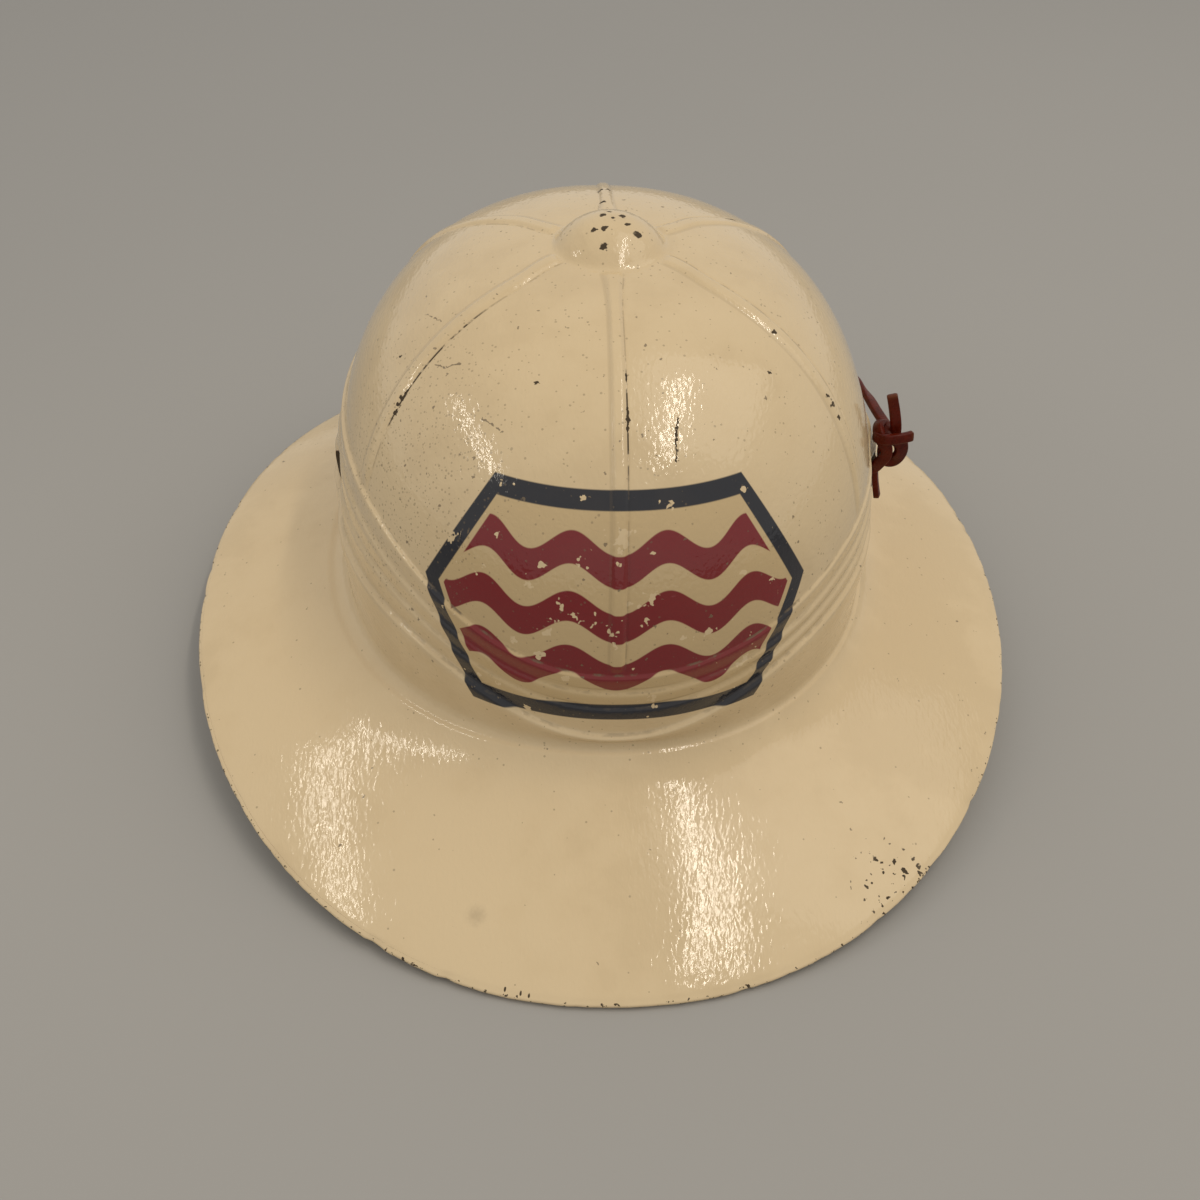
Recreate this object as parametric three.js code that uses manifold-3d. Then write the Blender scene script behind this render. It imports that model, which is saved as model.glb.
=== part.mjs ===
// Sun helmet pressed in one piece from fibre sheet, with a leather lace for a chin strap.
// Millimetres, +Z up. The front faces -Y and the helmet stands on the front and back of its brim at Z = 0.
// The knotted end of the lace is on the +X side.

import * as THREE from "three";
import { mergeVertices } from "three/addons/utils/BufferGeometryUtils.js";
import Module from "manifold-3d";

const wasm = await Module();
wasm.setup();

const { lerp, degToRad } = THREE.MathUtils;

// Thickness of the pressed fibre.
const WALL = 2.4;

// The crown is a superellipse in plan and in profile: each ring is the wall's plan drawn in by the profile.
// fullness is the plan's exponent, where 2 is a plain ellipse, and the two powers square off the profile.
const CROWN = {
  halfWidth: 86.6,
  halfLength: 104.7,
  centreY: 3.5,
  fullness: 2.13,
  footHeight: 38.5,
  topHeight: 141.5,
  sidePower: 0.78,
  topPower: 0.65,
};

// The brim's edge is a superellipse in plan that rises at the sides and lies flat at the front and back.
// Its section is one cubic curve that leaves the crown's wall downwards and bulges a little on its way out.
const BRIM = {
  halfWidth: 137.5,
  halfLength: 163.5,
  centreY: 0,
  fullness: 2.08,
  sideRise: 17,
  rearLean: 0.2,
  restHalfAngle: degToRad(12),
  rootHeight: 29,
  slopeReach: 0.5,
  slopeBulge: 4,
  edgeDepth: 2.2,
  edgeDraft: 0.2,
  landWidth: 1.6,
};

// The button is a low round cap on the top of the crown, with a small rounded foot.
const BUTTON = {
  radius: 16.4,
  topHeight: 150,
  footWidth: 2.4,
  footLift: 0.5,
};

// Flat ribs run from the button down to the wrapped folds, the first one at the front.
const RIB = {
  count: 6,
  topWidth: 4.2,
  footWidth: 6,
  height: 0.8,
  firstAngle: degToRad(-90),
  plainColumns: 8,
};

// Upper edges of the folds that wrap the crown. They dip from the sides to the front and the back.
const FOLDS = [
  { sideHeight: 92.5, frontHeight: 68.5, step: 1.3 },
  { sideHeight: 84.0, frontHeight: 63.0, step: 0.9 },
  { sideHeight: 75.0, frontHeight: 57.0, step: 0.7 },
  { sideHeight: 68.0, frontHeight: 50.0, step: 0.8 },
  { sideHeight: 60.0, frontHeight: 40.8, step: 1.3 },
];
const FOLD = {
  lipHeight: 1.5,
  keptStep: 0.25,
};

// Round holes through the crown's wall: a pair at the sides, and one behind for the lace's far end.
const HOLE = {
  radius: 4.8,
  length: 30,
  sides: 20,
};
const HOLES = [
  { angle: degToRad(-5.7), height: 69.5 },
  { angle: degToRad(185.7), height: 69.5 },
  { angle: degToRad(145), height: 69.5 },
];

// The lace is a flat strip of leather with its corners worn off.
const LACE = {
  width: 3.4,
  thickness: 2,
  corner: 0.5,
  stepLength: 7,
};
const STOP_KNOT = {
  radius: 6,
  halfLength: 4.2,
  rings: 8,
  sides: 12,
};

// The strap's route from its knot round the back of the crown, over the brim and up to its hole.
const STRAP_ROUTE = [
  [90.4, -3.6, 82.6],
  [88.9, 3.2, 83.0],
  [87.7, 11.5, 83.0],
  [86.6, 21.5, 81.8],
  [84.9, 32.2, 79.0],
  [82.5, 43.6, 74.6],
  [79.2, 55.4, 68.6],
  [74.6, 67.2, 61.2],
  [68.4, 79.0, 53.0],
  [60.4, 90.0, 45.0],
  [50.6, 100.4, 37.6],
  [39.0, 109.6, 32.0],
  [26.0, 117.0, 29.2],
  [12.5, 121.4, 28.1],
  [-1.0, 123.0, 27.7],
  [-14.5, 121.8, 27.9],
  [-28.0, 117.6, 28.8],
  [-41.0, 110.6, 31.2],
  [-54.0, 101.8, 36.0],
  [-64.6, 93.6, 43.0],
  [-72.0, 87.0, 50.0],
  [-77.0, 82.4, 56.2],
  [-80.4, 79.0, 62.0],
  [-81.5, 76.5, 65.1],
  [-81.0, 73.3, 67.9],
  [-78.8, 70.1, 69.6],
  [-75.4, 67.5, 70.0],
  [-69.0, 63.8, 69.3],
];

// The lace's way out of its side hole and up into the knot, and the strips that make up the knot.
const ROOT_ROUTE = [
  [83.2, -8.4, 69.4],
  [86.4, -8.5, 69.8],
  [89.6, -8.9, 72.2],
  [91.0, -9.0, 75.6],
];
const BAND_ROUTE = [
  [90.0, -12.2, 81.0],
  [87.2, -9.8, 80.8],
  [88.0, -6.4, 80.6],
  [91.6, -5.4, 80.8],
  [94.4, -8.0, 81.2],
  [92.6, -11.6, 81.6],
  [94.2, -12.6, 81.9],
  [97.6, -12.0, 82.2],
];
const LOOP_ROUTE = [
  [92.0, -9.0, 80.0],
  [95.0, -9.2, 78.4],
  [95.8, -9.4, 75.4],
  [93.8, -9.4, 72.8],
  [91.2, -9.2, 73.4],
  [90.6, -8.8, 76.2],
  [90.4, -8.6, 79.6],
];
const STUB_ROUTE = [
  [91.8, -8.6, 79.5],
  [91.6, -8.7, 85.0],
  [90.6, -8.9, 91.0],
  [89.2, -9.0, 97.0],
];
const TAIL_ROUTE = [
  [91.4, -11.4, 78.0],
  [90.0, -12.4, 72.0],
  [89.4, -12.2, 66.0],
  [90.2, -11.6, 58.4],
];
const KNOT_CORE = {
  centre: [90.8, -8.8, 80.6],
  halfSize: [3.6, 3.4, 3.2],
  rings: 8,
  sides: 12,
};

const ENAMEL = { color: 0xd9c7a3, roughness: 0.38, metalness: 0 };
const LEATHER = { color: 0x5a1c14, roughness: 0.55, metalness: 0 };

// A point of a superellipse in plan.
function planPoint(size, angle) {
  const power = 2 / size.fullness;
  const across = Math.cos(angle);
  const along = Math.sin(angle);
  return new THREE.Vector2(
    size.halfWidth * Math.sign(across) * Math.abs(across) ** power,
    size.halfLength * Math.sign(along) * Math.abs(along) ** power + size.centreY,
  );
}

// Height of the brim's lower edge: flat at the front and back, highest just behind the sides.
function edgeHeight(angle) {
  const flat = Math.sin(BRIM.restHalfAngle) ** 2;
  const raised = Math.max(0, Math.cos(angle) ** 2 - flat) / (1 - flat);
  return BRIM.sideRise * raised * (1 + BRIM.rearLean * Math.sin(angle));
}

// The crown's climb angle, 0 at its foot and a right angle at its top, at a height or a ring's share.
function climbAtHeight(height) {
  const share = (height - CROWN.footHeight) / (CROWN.topHeight - CROWN.footHeight);
  return Math.asin(share ** (1 / CROWN.topPower));
}

function climbAtRing(share) {
  return Math.acos(share ** (1 / CROWN.sidePower));
}

function crownHeight(climb) {
  return lerp(CROWN.footHeight, CROWN.topHeight, Math.sin(climb) ** CROWN.topPower);
}

function crownPoint(angle, climb) {
  const wall = planPoint(CROWN, angle);
  const ring = Math.cos(climb) ** CROWN.sidePower;
  return new THREE.Vector3(wall.x * ring, lerp(CROWN.centreY, wall.y, ring), crownHeight(climb));
}

// The brim's section at one angle: how far out from the wall to the edge, and how high.
function brimSection(angle) {
  const edge = edgeHeight(angle) + BRIM.edgeDepth;
  const slope = lerp(BRIM.rootHeight, edge, BRIM.slopeReach) + BRIM.slopeBulge;
  return new THREE.CubicBezierCurve(
    new THREE.Vector2(0, CROWN.footHeight),
    new THREE.Vector2(0, BRIM.rootHeight),
    new THREE.Vector2(BRIM.slopeReach, slope),
    new THREE.Vector2(1, edge),
  );
}

function brimPoint(angle, share) {
  const section = brimSection(angle).getPoint(share);
  const plan = planPoint(CROWN, angle).lerp(planPoint(BRIM, angle), section.x);
  return new THREE.Vector3(plan.x, plan.y, section.y);
}

// The smooth outer skin: stations 0 to 1 run down the crown and 1 to 2 run out over the brim.
function skinPoint(angle, station) {
  if (station <= 1) return crownPoint(angle, (1 - station) * Math.PI * 0.5);
  return brimPoint(angle, station - 1);
}

function skinStation(climb) {
  return 1 - climb / (Math.PI * 0.5);
}

function skinNormal(angle, station) {
  const small = 1e-3;
  const inner = skinPoint(angle, station - small);
  const outer = skinPoint(angle, station + small);
  const before = skinPoint(angle - small, station);
  const after = skinPoint(angle + small, station);
  return outer.sub(inner).cross(after.sub(before)).normalize();
}

// One ring of the shell as a row: a point at each angle, and how many millimetres a radian spans there.
function skinRow(stationAt, liftAt) {
  return {
    pointAt(angle, onRib) {
      const station = stationAt(angle);
      const lift = liftAt(angle, onRib);
      return skinPoint(angle, station).addScaledVector(skinNormal(angle, station), lift);
    },
    span(angle) {
      const small = 1e-3;
      const station = stationAt(angle);
      return skinPoint(angle + small, station).distanceTo(skinPoint(angle - small, station)) / (2 * small);
    },
  };
}

// A round row of the button, or of its foot, at a radius and height.
function roundRow(radius, height) {
  return {
    pointAt(angle) {
      return new THREE.Vector3(radius * Math.cos(angle), CROWN.centreY + radius * Math.sin(angle), height);
    },
    span() {
      return Math.max(radius, BUTTON.radius);
    },
  };
}

// A row of the brim's lower rim, set in from the edge along the way to the crown.
function rimRow(inset) {
  return {
    pointAt(angle) {
      const edge = planPoint(BRIM, angle);
      const wall = planPoint(CROWN, angle);
      const plan = edge.clone().lerp(wall, inset / edge.distanceTo(wall));
      return new THREE.Vector3(plan.x, plan.y, edgeHeight(angle));
    },
    span: () => BRIM.halfWidth,
  };
}

// Columns of one ring: the feet and top edges of each rib at their true width, and plain columns between.
function ringColumns(row) {
  const pitch = (2 * Math.PI) / RIB.count;
  const columns = [];
  for (let index = 0; index < RIB.count; index += 1) {
    const centre = RIB.firstAngle + index * pitch;
    const next = centre + pitch;
    const top = RIB.topWidth / 2 / row.span(centre);
    const foot = RIB.footWidth / 2 / row.span(centre);
    const nextFoot = RIB.footWidth / 2 / row.span(next);
    columns.push({ angle: centre - foot, onRib: false });
    columns.push({ angle: centre - top, onRib: true });
    columns.push({ angle: centre + top, onRib: true });
    columns.push({ angle: centre + foot, onRib: false });
    for (let plain = 1; plain <= RIB.plainColumns; plain += 1) {
      const share = plain / (RIB.plainColumns + 1);
      columns.push({ angle: lerp(centre + foot, next - nextFoot, share), onRib: false });
    }
  }
  return columns;
}

function foldHeight(fold, angle) {
  return lerp(fold.sideHeight, fold.frontHeight, Math.sin(angle) ** 4);
}

// The button's rows, from near its top to its rounded foot on the crown.
function buttonRows() {
  const base = crownHeight(climbAtRing(BUTTON.radius / CROWN.halfLength));
  const rise = BUTTON.topHeight - base;
  const capRadius = (BUTTON.radius ** 2 + rise ** 2) / (2 * rise);
  const shares = [0.3, 0.58, 0.82, 0.97];
  const rows = shares.map((share) => {
    const radius = share * BUTTON.radius;
    const height = BUTTON.topHeight - capRadius + Math.sqrt(capRadius ** 2 - radius ** 2);
    return roundRow(radius, height + BUTTON.footLift * share ** 4);
  });
  rows.push(roundRow(BUTTON.radius + BUTTON.footWidth, base + BUTTON.footLift / 2));
  return rows;
}

// The crown's ribbed rows, from beside the button down to the lip of the first fold.
function ribbedRows() {
  const topRing = (BUTTON.radius + 2.5 * BUTTON.footWidth) / CROWN.halfWidth;
  const topStation = skinStation(climbAtRing(topRing));
  const rowCount = 9;
  const rows = [];
  for (let index = 0; index <= rowCount; index += 1) {
    const stationAt = (angle) => {
      const lip = foldHeight(FOLDS[0], angle) + FOLD.lipHeight;
      return lerp(topStation, skinStation(climbAtHeight(lip)), index / rowCount);
    };
    rows.push(skinRow(stationAt, (angle, onRib) => (onRib ? RIB.height : 0)));
  }
  return rows;
}

// Each fold has a crest at its upper edge, falls back as it goes down, and is overlapped by the next lip.
function foldRows() {
  const rows = [];
  FOLDS.forEach((fold, index) => {
    const stationAt = (rise) => (angle) => skinStation(climbAtHeight(foldHeight(fold, angle) + rise));
    if (index > 0) {
      const kept = FOLDS[index - 1].step * FOLD.keptStep;
      rows.push(skinRow(stationAt(FOLD.lipHeight), () => kept));
    }
    rows.push(skinRow(stationAt(0), () => fold.step));
  });
  return rows;
}

// Plain rows at set stations of the skin, all at one distance from it.
function plainRows(stations, lift) {
  const stationAt = (station) => () => station;
  const liftAt = () => lift;
  return stations.map((station) => skinRow(stationAt(station), liftAt));
}

// The inside of the crown, plain and one wall's thickness in from the smooth skin.
function innerCrownRows() {
  const ringShares = [0.992, 0.97, 0.93, 0.86, 0.76, 0.62, 0.44, 0.24];
  const stations = ringShares.map((share) => skinStation(climbAtRing(share)));
  return plainRows(stations, -WALL);
}

// One closed skin from a top point through rings of equal length to a bottom point.
function closedSkin(top, rings, bottom) {
  const count = rings[0].length;
  const points = [top, ...rings.flat(), bottom];
  const last = points.length - 1;
  const at = (ring, column) => 1 + ring * count + (column % count);
  const triangles = [];
  for (let column = 0; column < count; column += 1) {
    triangles.push(0, at(0, column), at(0, column + 1));
    for (let ring = 0; ring + 1 < rings.length; ring += 1) {
      triangles.push(at(ring, column), at(ring + 1, column), at(ring, column + 1));
      triangles.push(at(ring, column + 1), at(ring + 1, column), at(ring + 1, column + 1));
    }
    triangles.push(last, at(rings.length - 1, column + 1), at(rings.length - 1, column));
  }
  const positions = new Float32Array(points.flatMap((point) => point.toArray()));
  return new THREE.BufferGeometry()
    .setAttribute("position", new THREE.BufferAttribute(positions, 3))
    .setIndex(triangles);
}

// A closed geometry as a solid that can be joined and cut, and back again.
function solidFrom(geometry) {
  const bare = geometry.clone();
  bare.deleteAttribute("normal");
  bare.deleteAttribute("uv");
  const merged = mergeVertices(bare, 1e-4);
  return new wasm.Manifold(
    new wasm.Mesh({
      numProp: 3,
      vertProperties: new Float32Array(merged.attributes.position.array),
      triVerts: new Uint32Array(merged.index.array),
    }),
  );
}

function geometryFrom(solid) {
  const mesh = solid.getMesh();
  const geometry = new THREE.BufferGeometry()
    .setAttribute("position", new THREE.BufferAttribute(mesh.vertProperties, 3))
    .setIndex(new THREE.BufferAttribute(mesh.triVerts, 1));
  geometry.computeVertexNormals();
  return geometry;
}

function joined(geometries) {
  const solids = geometries.map(solidFrom);
  return geometryFrom(solids.reduce((whole, solid) => whole.add(solid)));
}

// A drill for one hole, square to the crown's wall where the hole is.
function holeDrill(hole) {
  const station = skinStation(climbAtHeight(hole.height));
  const centre = skinPoint(hole.angle, station);
  const wayOut = skinNormal(hole.angle, station);
  const drill = new THREE.CylinderGeometry(HOLE.radius, HOLE.radius, HOLE.length, HOLE.sides);
  drill.applyQuaternion(new THREE.Quaternion().setFromUnitVectors(new THREE.Vector3(0, 1, 0), wayOut));
  return drill.translate(centre.x, centre.y, centre.z);
}

function shellGeometry() {
  const rows = [
    ...buttonRows(),
    ...ribbedRows(),
    ...foldRows(),
    ...plainRows([1, 1.1, 1.2, 1.32, 1.48, 1.66, 1.84, 1.95, 2], 0),
    rimRow(BRIM.edgeDraft),
    rimRow(BRIM.edgeDraft + BRIM.landWidth),
    ...plainRows([1.9, 1.7, 1.5, 1.34, 1.22, 1.12, 1], -WALL),
    ...innerCrownRows(),
  ];
  const ringOf = (row) => ringColumns(row).map((column) => row.pointAt(column.angle, column.onRib));
  const rings = rows.map(ringOf);
  const top = new THREE.Vector3(0, CROWN.centreY, BUTTON.topHeight);
  const bottom = new THREE.Vector3(0, CROWN.centreY, CROWN.topHeight - WALL);
  const whole = solidFrom(closedSkin(top, rings, bottom));
  const drilled = HOLES.map(holeDrill).reduce((solid, drill) => solid.subtract(solidFrom(drill)), whole);
  return geometryFrom(drilled);
}

// The lace's flat section, with its width along the first axis of the section or along the second.
function laceSection(widthFirst) {
  const halfFirst = (widthFirst ? LACE.width : LACE.thickness) / 2;
  const halfSecond = (widthFirst ? LACE.thickness : LACE.width) / 2;
  const corner = LACE.corner;
  return new THREE.Shape([
    new THREE.Vector2(halfFirst, corner - halfSecond),
    new THREE.Vector2(halfFirst, halfSecond - corner),
    new THREE.Vector2(halfFirst - corner, halfSecond),
    new THREE.Vector2(corner - halfFirst, halfSecond),
    new THREE.Vector2(-halfFirst, halfSecond - corner),
    new THREE.Vector2(-halfFirst, corner - halfSecond),
    new THREE.Vector2(corner - halfFirst, -halfSecond),
    new THREE.Vector2(halfFirst - corner, -halfSecond),
  ]);
}

// A length of lace along a route.
function laceStrip(route, widthFirst, stepLength) {
  const path = new THREE.CatmullRomCurve3(route.map((point) => new THREE.Vector3(...point)));
  return new THREE.ExtrudeGeometry(laceSection(widthFirst), {
    steps: Math.ceil(path.getLength() / stepLength),
    extrudePath: path,
    bevelEnabled: false,
    curveSegments: 1,
  });
}

function knotGeometry() {
  const shortStep = LACE.stepLength / 4;
  const core = new THREE.SphereGeometry(1, KNOT_CORE.sides, KNOT_CORE.rings)
    .scale(...KNOT_CORE.halfSize)
    .translate(...KNOT_CORE.centre);
  return joined([
    core,
    laceStrip(ROOT_ROUTE, true, shortStep),
    laceStrip(BAND_ROUTE, true, shortStep),
    laceStrip(LOOP_ROUTE, true, shortStep),
    laceStrip(STUB_ROUTE, false, 2 * shortStep),
    laceStrip(TAIL_ROUTE, true, 2 * shortStep),
  ]);
}

// A plain stop knot on the inside end of a lace: a round lump that is longer along the lace's way.
function stopGeometry(endPoint, wayIn) {
  const gap = 0.3;
  const way = new THREE.Vector3(...wayIn).normalize();
  const centre = new THREE.Vector3(...endPoint).addScaledVector(way, STOP_KNOT.halfLength + gap);
  const lump = new THREE.SphereGeometry(1, STOP_KNOT.sides, STOP_KNOT.rings);
  lump.scale(STOP_KNOT.radius, STOP_KNOT.halfLength, STOP_KNOT.radius);
  lump.applyQuaternion(new THREE.Quaternion().setFromUnitVectors(new THREE.Vector3(0, 1, 0), way));
  return lump.translate(centre.x, centre.y, centre.z);
}

const helmet = new THREE.Group();

function addPiece(name, geometry, finish) {
  const mesh = new THREE.Mesh(geometry, new THREE.MeshStandardMaterial(finish));
  mesh.name = name;
  helmet.add(mesh);
}

addPiece("shell", shellGeometry(), ENAMEL);
addPiece("lace_strap", laceStrip(STRAP_ROUTE, true, LACE.stepLength), LEATHER);
addPiece("lace_knot", knotGeometry(), LEATHER);
addPiece("lace_stop_side", stopGeometry(ROOT_ROUTE[0], [-1, 0, 0]), LEATHER);
addPiece("lace_stop_rear", stopGeometry(STRAP_ROUTE.at(-1), [0.866, -0.491, -0.091]), LEATHER);

export default helmet;
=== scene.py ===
"""Dresses the pressed-fibre sun helmet: its worn enamel shell and its knotted leather lace.

Metres, +Z up. The front faces -Y, and the helmet stands on the front and back of its brim at Z = 0.
"""

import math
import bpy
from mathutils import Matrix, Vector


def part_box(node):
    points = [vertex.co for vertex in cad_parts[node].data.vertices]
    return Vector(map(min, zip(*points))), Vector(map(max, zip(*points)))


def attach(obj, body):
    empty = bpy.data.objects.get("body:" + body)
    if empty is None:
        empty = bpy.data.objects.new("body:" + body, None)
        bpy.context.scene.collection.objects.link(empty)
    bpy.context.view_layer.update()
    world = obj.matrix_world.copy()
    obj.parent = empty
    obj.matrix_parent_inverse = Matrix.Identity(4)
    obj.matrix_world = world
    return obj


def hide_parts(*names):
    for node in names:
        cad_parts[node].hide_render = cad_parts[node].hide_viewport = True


bl_info = {
    "name": "Sun Helmet Dresser",
    "version": (1, 0, 0),
    "blender": (4, 5, 0),
    "location": "3D View > Sidebar > Helmet",
    "description": "Makes the shell, the lace and the stage of a worn sun helmet",
    "category": "Object",
}

from types import SimpleNamespace
from typing import NamedTuple

import bpy
import numpy as np
from mathutils import Matrix, Vector

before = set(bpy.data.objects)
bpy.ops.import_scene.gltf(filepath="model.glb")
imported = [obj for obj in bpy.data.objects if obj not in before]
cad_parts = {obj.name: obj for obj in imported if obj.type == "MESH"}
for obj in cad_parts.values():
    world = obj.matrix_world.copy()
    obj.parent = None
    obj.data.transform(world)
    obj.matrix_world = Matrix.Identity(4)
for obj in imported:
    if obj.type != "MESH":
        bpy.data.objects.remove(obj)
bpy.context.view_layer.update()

MM = 0.001
BODY = "root"
SHELL_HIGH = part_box("shell")[1]


# Sizes of the shell, those of its solid and those of its finer relief


class Crown:
    """The crown, a superellipse in plan and in profile."""

    half_width = 86.6 * MM
    half_length = 104.7 * MM
    centre_y = 3.5 * MM
    fullness = 2.13
    foot = 38.5 * MM
    top = 141.5 * MM
    side_power = 0.78
    top_power = 0.65


class Brim:
    """The brim, which rises at the sides and lies flat at the front and the back."""

    half_width = 137.5 * MM
    half_length = 163.5 * MM
    centre_y = 0.0
    fullness = 2.08
    side_rise = 17 * MM
    rear_lean = 0.2
    rest_half_angle = math.radians(12)
    root = 29 * MM
    slope_reach = 0.5
    slope_bulge = 4 * MM
    edge_depth = 2.2 * MM
    land = 1.6 * MM


class Button:
    """The low round cap on the top of the crown."""

    radius = 16.4 * MM
    top = SHELL_HIGH.z
    fillet = 1.6 * MM


class Rib:
    """The flat ribs that run from the button down to the folds, the first one at the front."""

    count = 6
    first_angle = math.radians(-90)
    top_width = 2.4 * MM
    foot_width = 6.4 * MM
    groove = 0.2 * MM
    groove_width = 0.4 * MM
    fade = 6 * MM


class Fold(NamedTuple):
    """A fold that wraps the crown.

    The heights of its upper edge, the power of its dip, its lip, its steps, and the dirt along it.
    """

    left: float
    right: float
    front: float
    dip_power: int
    lip: float
    left_step: float
    right_step: float
    dirt: float
    front_dirt: float


FOLDS = (
    Fold(92.0 * MM, 82.0 * MM, 64.4 * MM, 4, 1.2 * MM, 1.0 * MM, 0.7 * MM, 0.3, 0.75),
    Fold(83.0 * MM, 75.0 * MM, 58.0 * MM, 4, 1.8 * MM, 0.8 * MM, 0.9 * MM, 0.15, 0.2),
    Fold(73.0 * MM, 68.5 * MM, 52.0 * MM, 5, 1.8 * MM, 0.8 * MM, 1.0 * MM, 0.15, 0.15),
    Fold(62.0 * MM, 61.5 * MM, 41.5 * MM, 8, 1.5 * MM, 1.7 * MM, 1.5 * MM, 0.25, 0.2),
)
FOLD_KEPT = 0.2


class Foot:
    """The low lip where the crown's wall turns out into the brim: its heights and its form."""

    left = 31.2 * MM
    right = 35.5 * MM
    front = 34.8 * MM
    lip = 1.3 * MM
    step = 0.7 * MM
    reach = 6 * MM


HOLE_RADIUS = 4.8 * MM
HOLE_HEIGHT = 69.5 * MM
HOLE_ANGLES = (math.radians(-5.7), math.radians(185.7), math.radians(145))
# The wall round each hole is pulled out of true: its slope there towards the front and its lift,
# and how far they reach.
HOLE_PULLS = ((0.5, 1.6 * MM), (0.30, -0.4 * MM), (0.0, 0.0))
HOLE_REACH = 8.5 * MM

# The shell's grid: its columns and rows, and how the columns are drawn together over the ribs.
SECTOR_COLUMNS = 56
TOP_ROWS = 46
WALL_ROWS = 54
LIP_STEPS = (1.0, 0.8, 0.6, 0.4, 0.2, 0.0)
FALL_STEPS = (0.12, 0.27, 0.42, 0.57, 0.72, 0.87)
BRIM_SHARES = np.concatenate([np.linspace(0, 0.4, 30), np.linspace(0.42, 0.95, 24), (0.962, 0.975, 0.985)])
INNER_BRIM_ROWS = 26
INNER_CROWN_ROWS = 36
RIB_ZONE = 5 * MM
RIB_ZONE_SHARE = 0.2
RIB_ZONE_MOST = 0.3
TOP_ZONE_RADIUS = 32 * MM
PITCH = 2 * math.pi / Rib.count
RIB_ANGLES = Rib.first_angle + PITCH * np.arange(Rib.count)
# The brim's cut edge, from its upper corner down and back under: each row's inset and its height.
RIM_ROWS = (
    (0.5 * MM, Brim.edge_depth),
    (0.15 * MM, Brim.edge_depth - 0.15 * MM),
    (0.0, Brim.edge_depth - 0.6 * MM),
    (0.12 * MM, 1.1 * MM),
    (0.8 * MM, 0.45 * MM),
    (1.5 * MM, 0.0),
    (1.5 * MM + Brim.land, 0.0),
)

# The painted panel: its middle's height, the radius that it is wrapped on, its form, and its wavy bands.
PANEL_HEIGHT = 84 * MM
PANEL_RADIUS = 95 * MM
PANEL_HALF_WIDTH = 62 * MM
PANEL_HALF_HEIGHT = 35 * MM
PANEL_BORDER = 5.5 * MM
PANEL_MARGIN = 7.5 * MM
PANEL_SLANT = 0.55
WAVE_PERIOD = 16.5 * MM
WAVE_LENGTH = 27 * MM
WAVE_HEIGHT = 3.2 * MM
BAND_HALF = 0.27 * WAVE_PERIOD
BANDS_REACH = 1.4 * WAVE_PERIOD

# Single chips and marks: place and radius in millimetres.
BUTTON_CHIPS = (
    (-2.4, 4.2, 149.8, 1.1),
    (0.6, 2.2, 149.9, 0.8),
    (3.4, 4.0, 149.7, 1.2),
    (-5.1, -2.5, 148.4, 1.1),
    (-2.1, -2.4, 149.0, 1.2),
    (-2.4, -8.0, 146.1, 1.4),
    (7.5, -3.1, 147.3, 1.4),
    (4.7, 0.0, 149.1, 0.9),
    (-0.3, 6.5, 149.7, 0.8),
)
CROWN_CHIPS = (
    (60.4, -41.1, 117.2, 1.0),
    (61.9, -42.2, 115.0, 1.2),
    (63.8, -43.6, 111.7, 1.1),
    (45.0, -30.9, 131.9, 1.0),
    (-1.6, 46.0, 138.8, 1.2),
    (0.9, 46.1, 138.8, 1.0),
    (-1.2, 32.4, 140.9, 1.1),
    (-60.4, -28.0, 121.9, 0.65),
    (-21.6, -56.0, 130.9, 0.75),
    (42.3, -46.0, 127.9, 0.65),
)
# Straight marks: both ends and half the width in millimetres.
EDGE_SLITS = (
    ((-31.2, -159.8, 2.7), (-30.8, -157.9, 3.2), 0.35),
    ((-26.9, -160.8, 2.5), (-26.5, -158.9, 3.0), 0.35),
    ((-24.6, -161.2, 2.4), (-24.2, -159.3, 2.9), 0.35),
    ((-20.1, -158.8, 3.1), (-20.4, -157.2, 3.4), 0.3),
)
CRACKS = (
    ((15.6, -66.4, 126.6), (14.8, -70.4, 124.2), 0.36),
    ((14.8, -70.4, 124.2), (15.0, -76.2, 119.8), 0.36),
    ((33.7, 30.7, 137.2), (40.6, 33.5, 134.6), 0.6),
)
SCRATCHES = (
    ((-49.7, -39.8, 126.1), (-46.4, -42.5, 127.1), 0.4),
    ((-46.4, -42.5, 127.1), (-42.5, -43.3, 129.0), 0.4),
    ((-35.9, -61.6, 123.3), (-30.6, -66.6, 122.3), 0.35),
    ((-53.3, -17.4, 129.4), (-48.6, -24.3, 130.9), 0.3),
)
# Worn places: a point, and the distances up to which each holds and at which it has faded, in millimetres.
PANEL_RUB = ((-4, -97, 90), 4, 26)
WORN_RIBS = (((-51, -38, 123.5), 15, 30), ((2, -68, 126), 8, 22))
SPECKLED_SIDE = ((-60, -56, 102), 20, 50)
BRIM_PATCH = ((81, -130, 9), 7, 19)
BRIM_SMUDGE = ((-39, -140, 11), 0, 4)
# Gashes beside the ribs: such a place, and how far the gash opens.
GASHES = (
    ((-58.8, -45.4, 116.4), 1, 8, 2.2),
    ((2, -68, 126.6), 1, 6, 1.7),
    ((2, -56.3, 132.8), 0.3, 2, 0.8),
)

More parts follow.
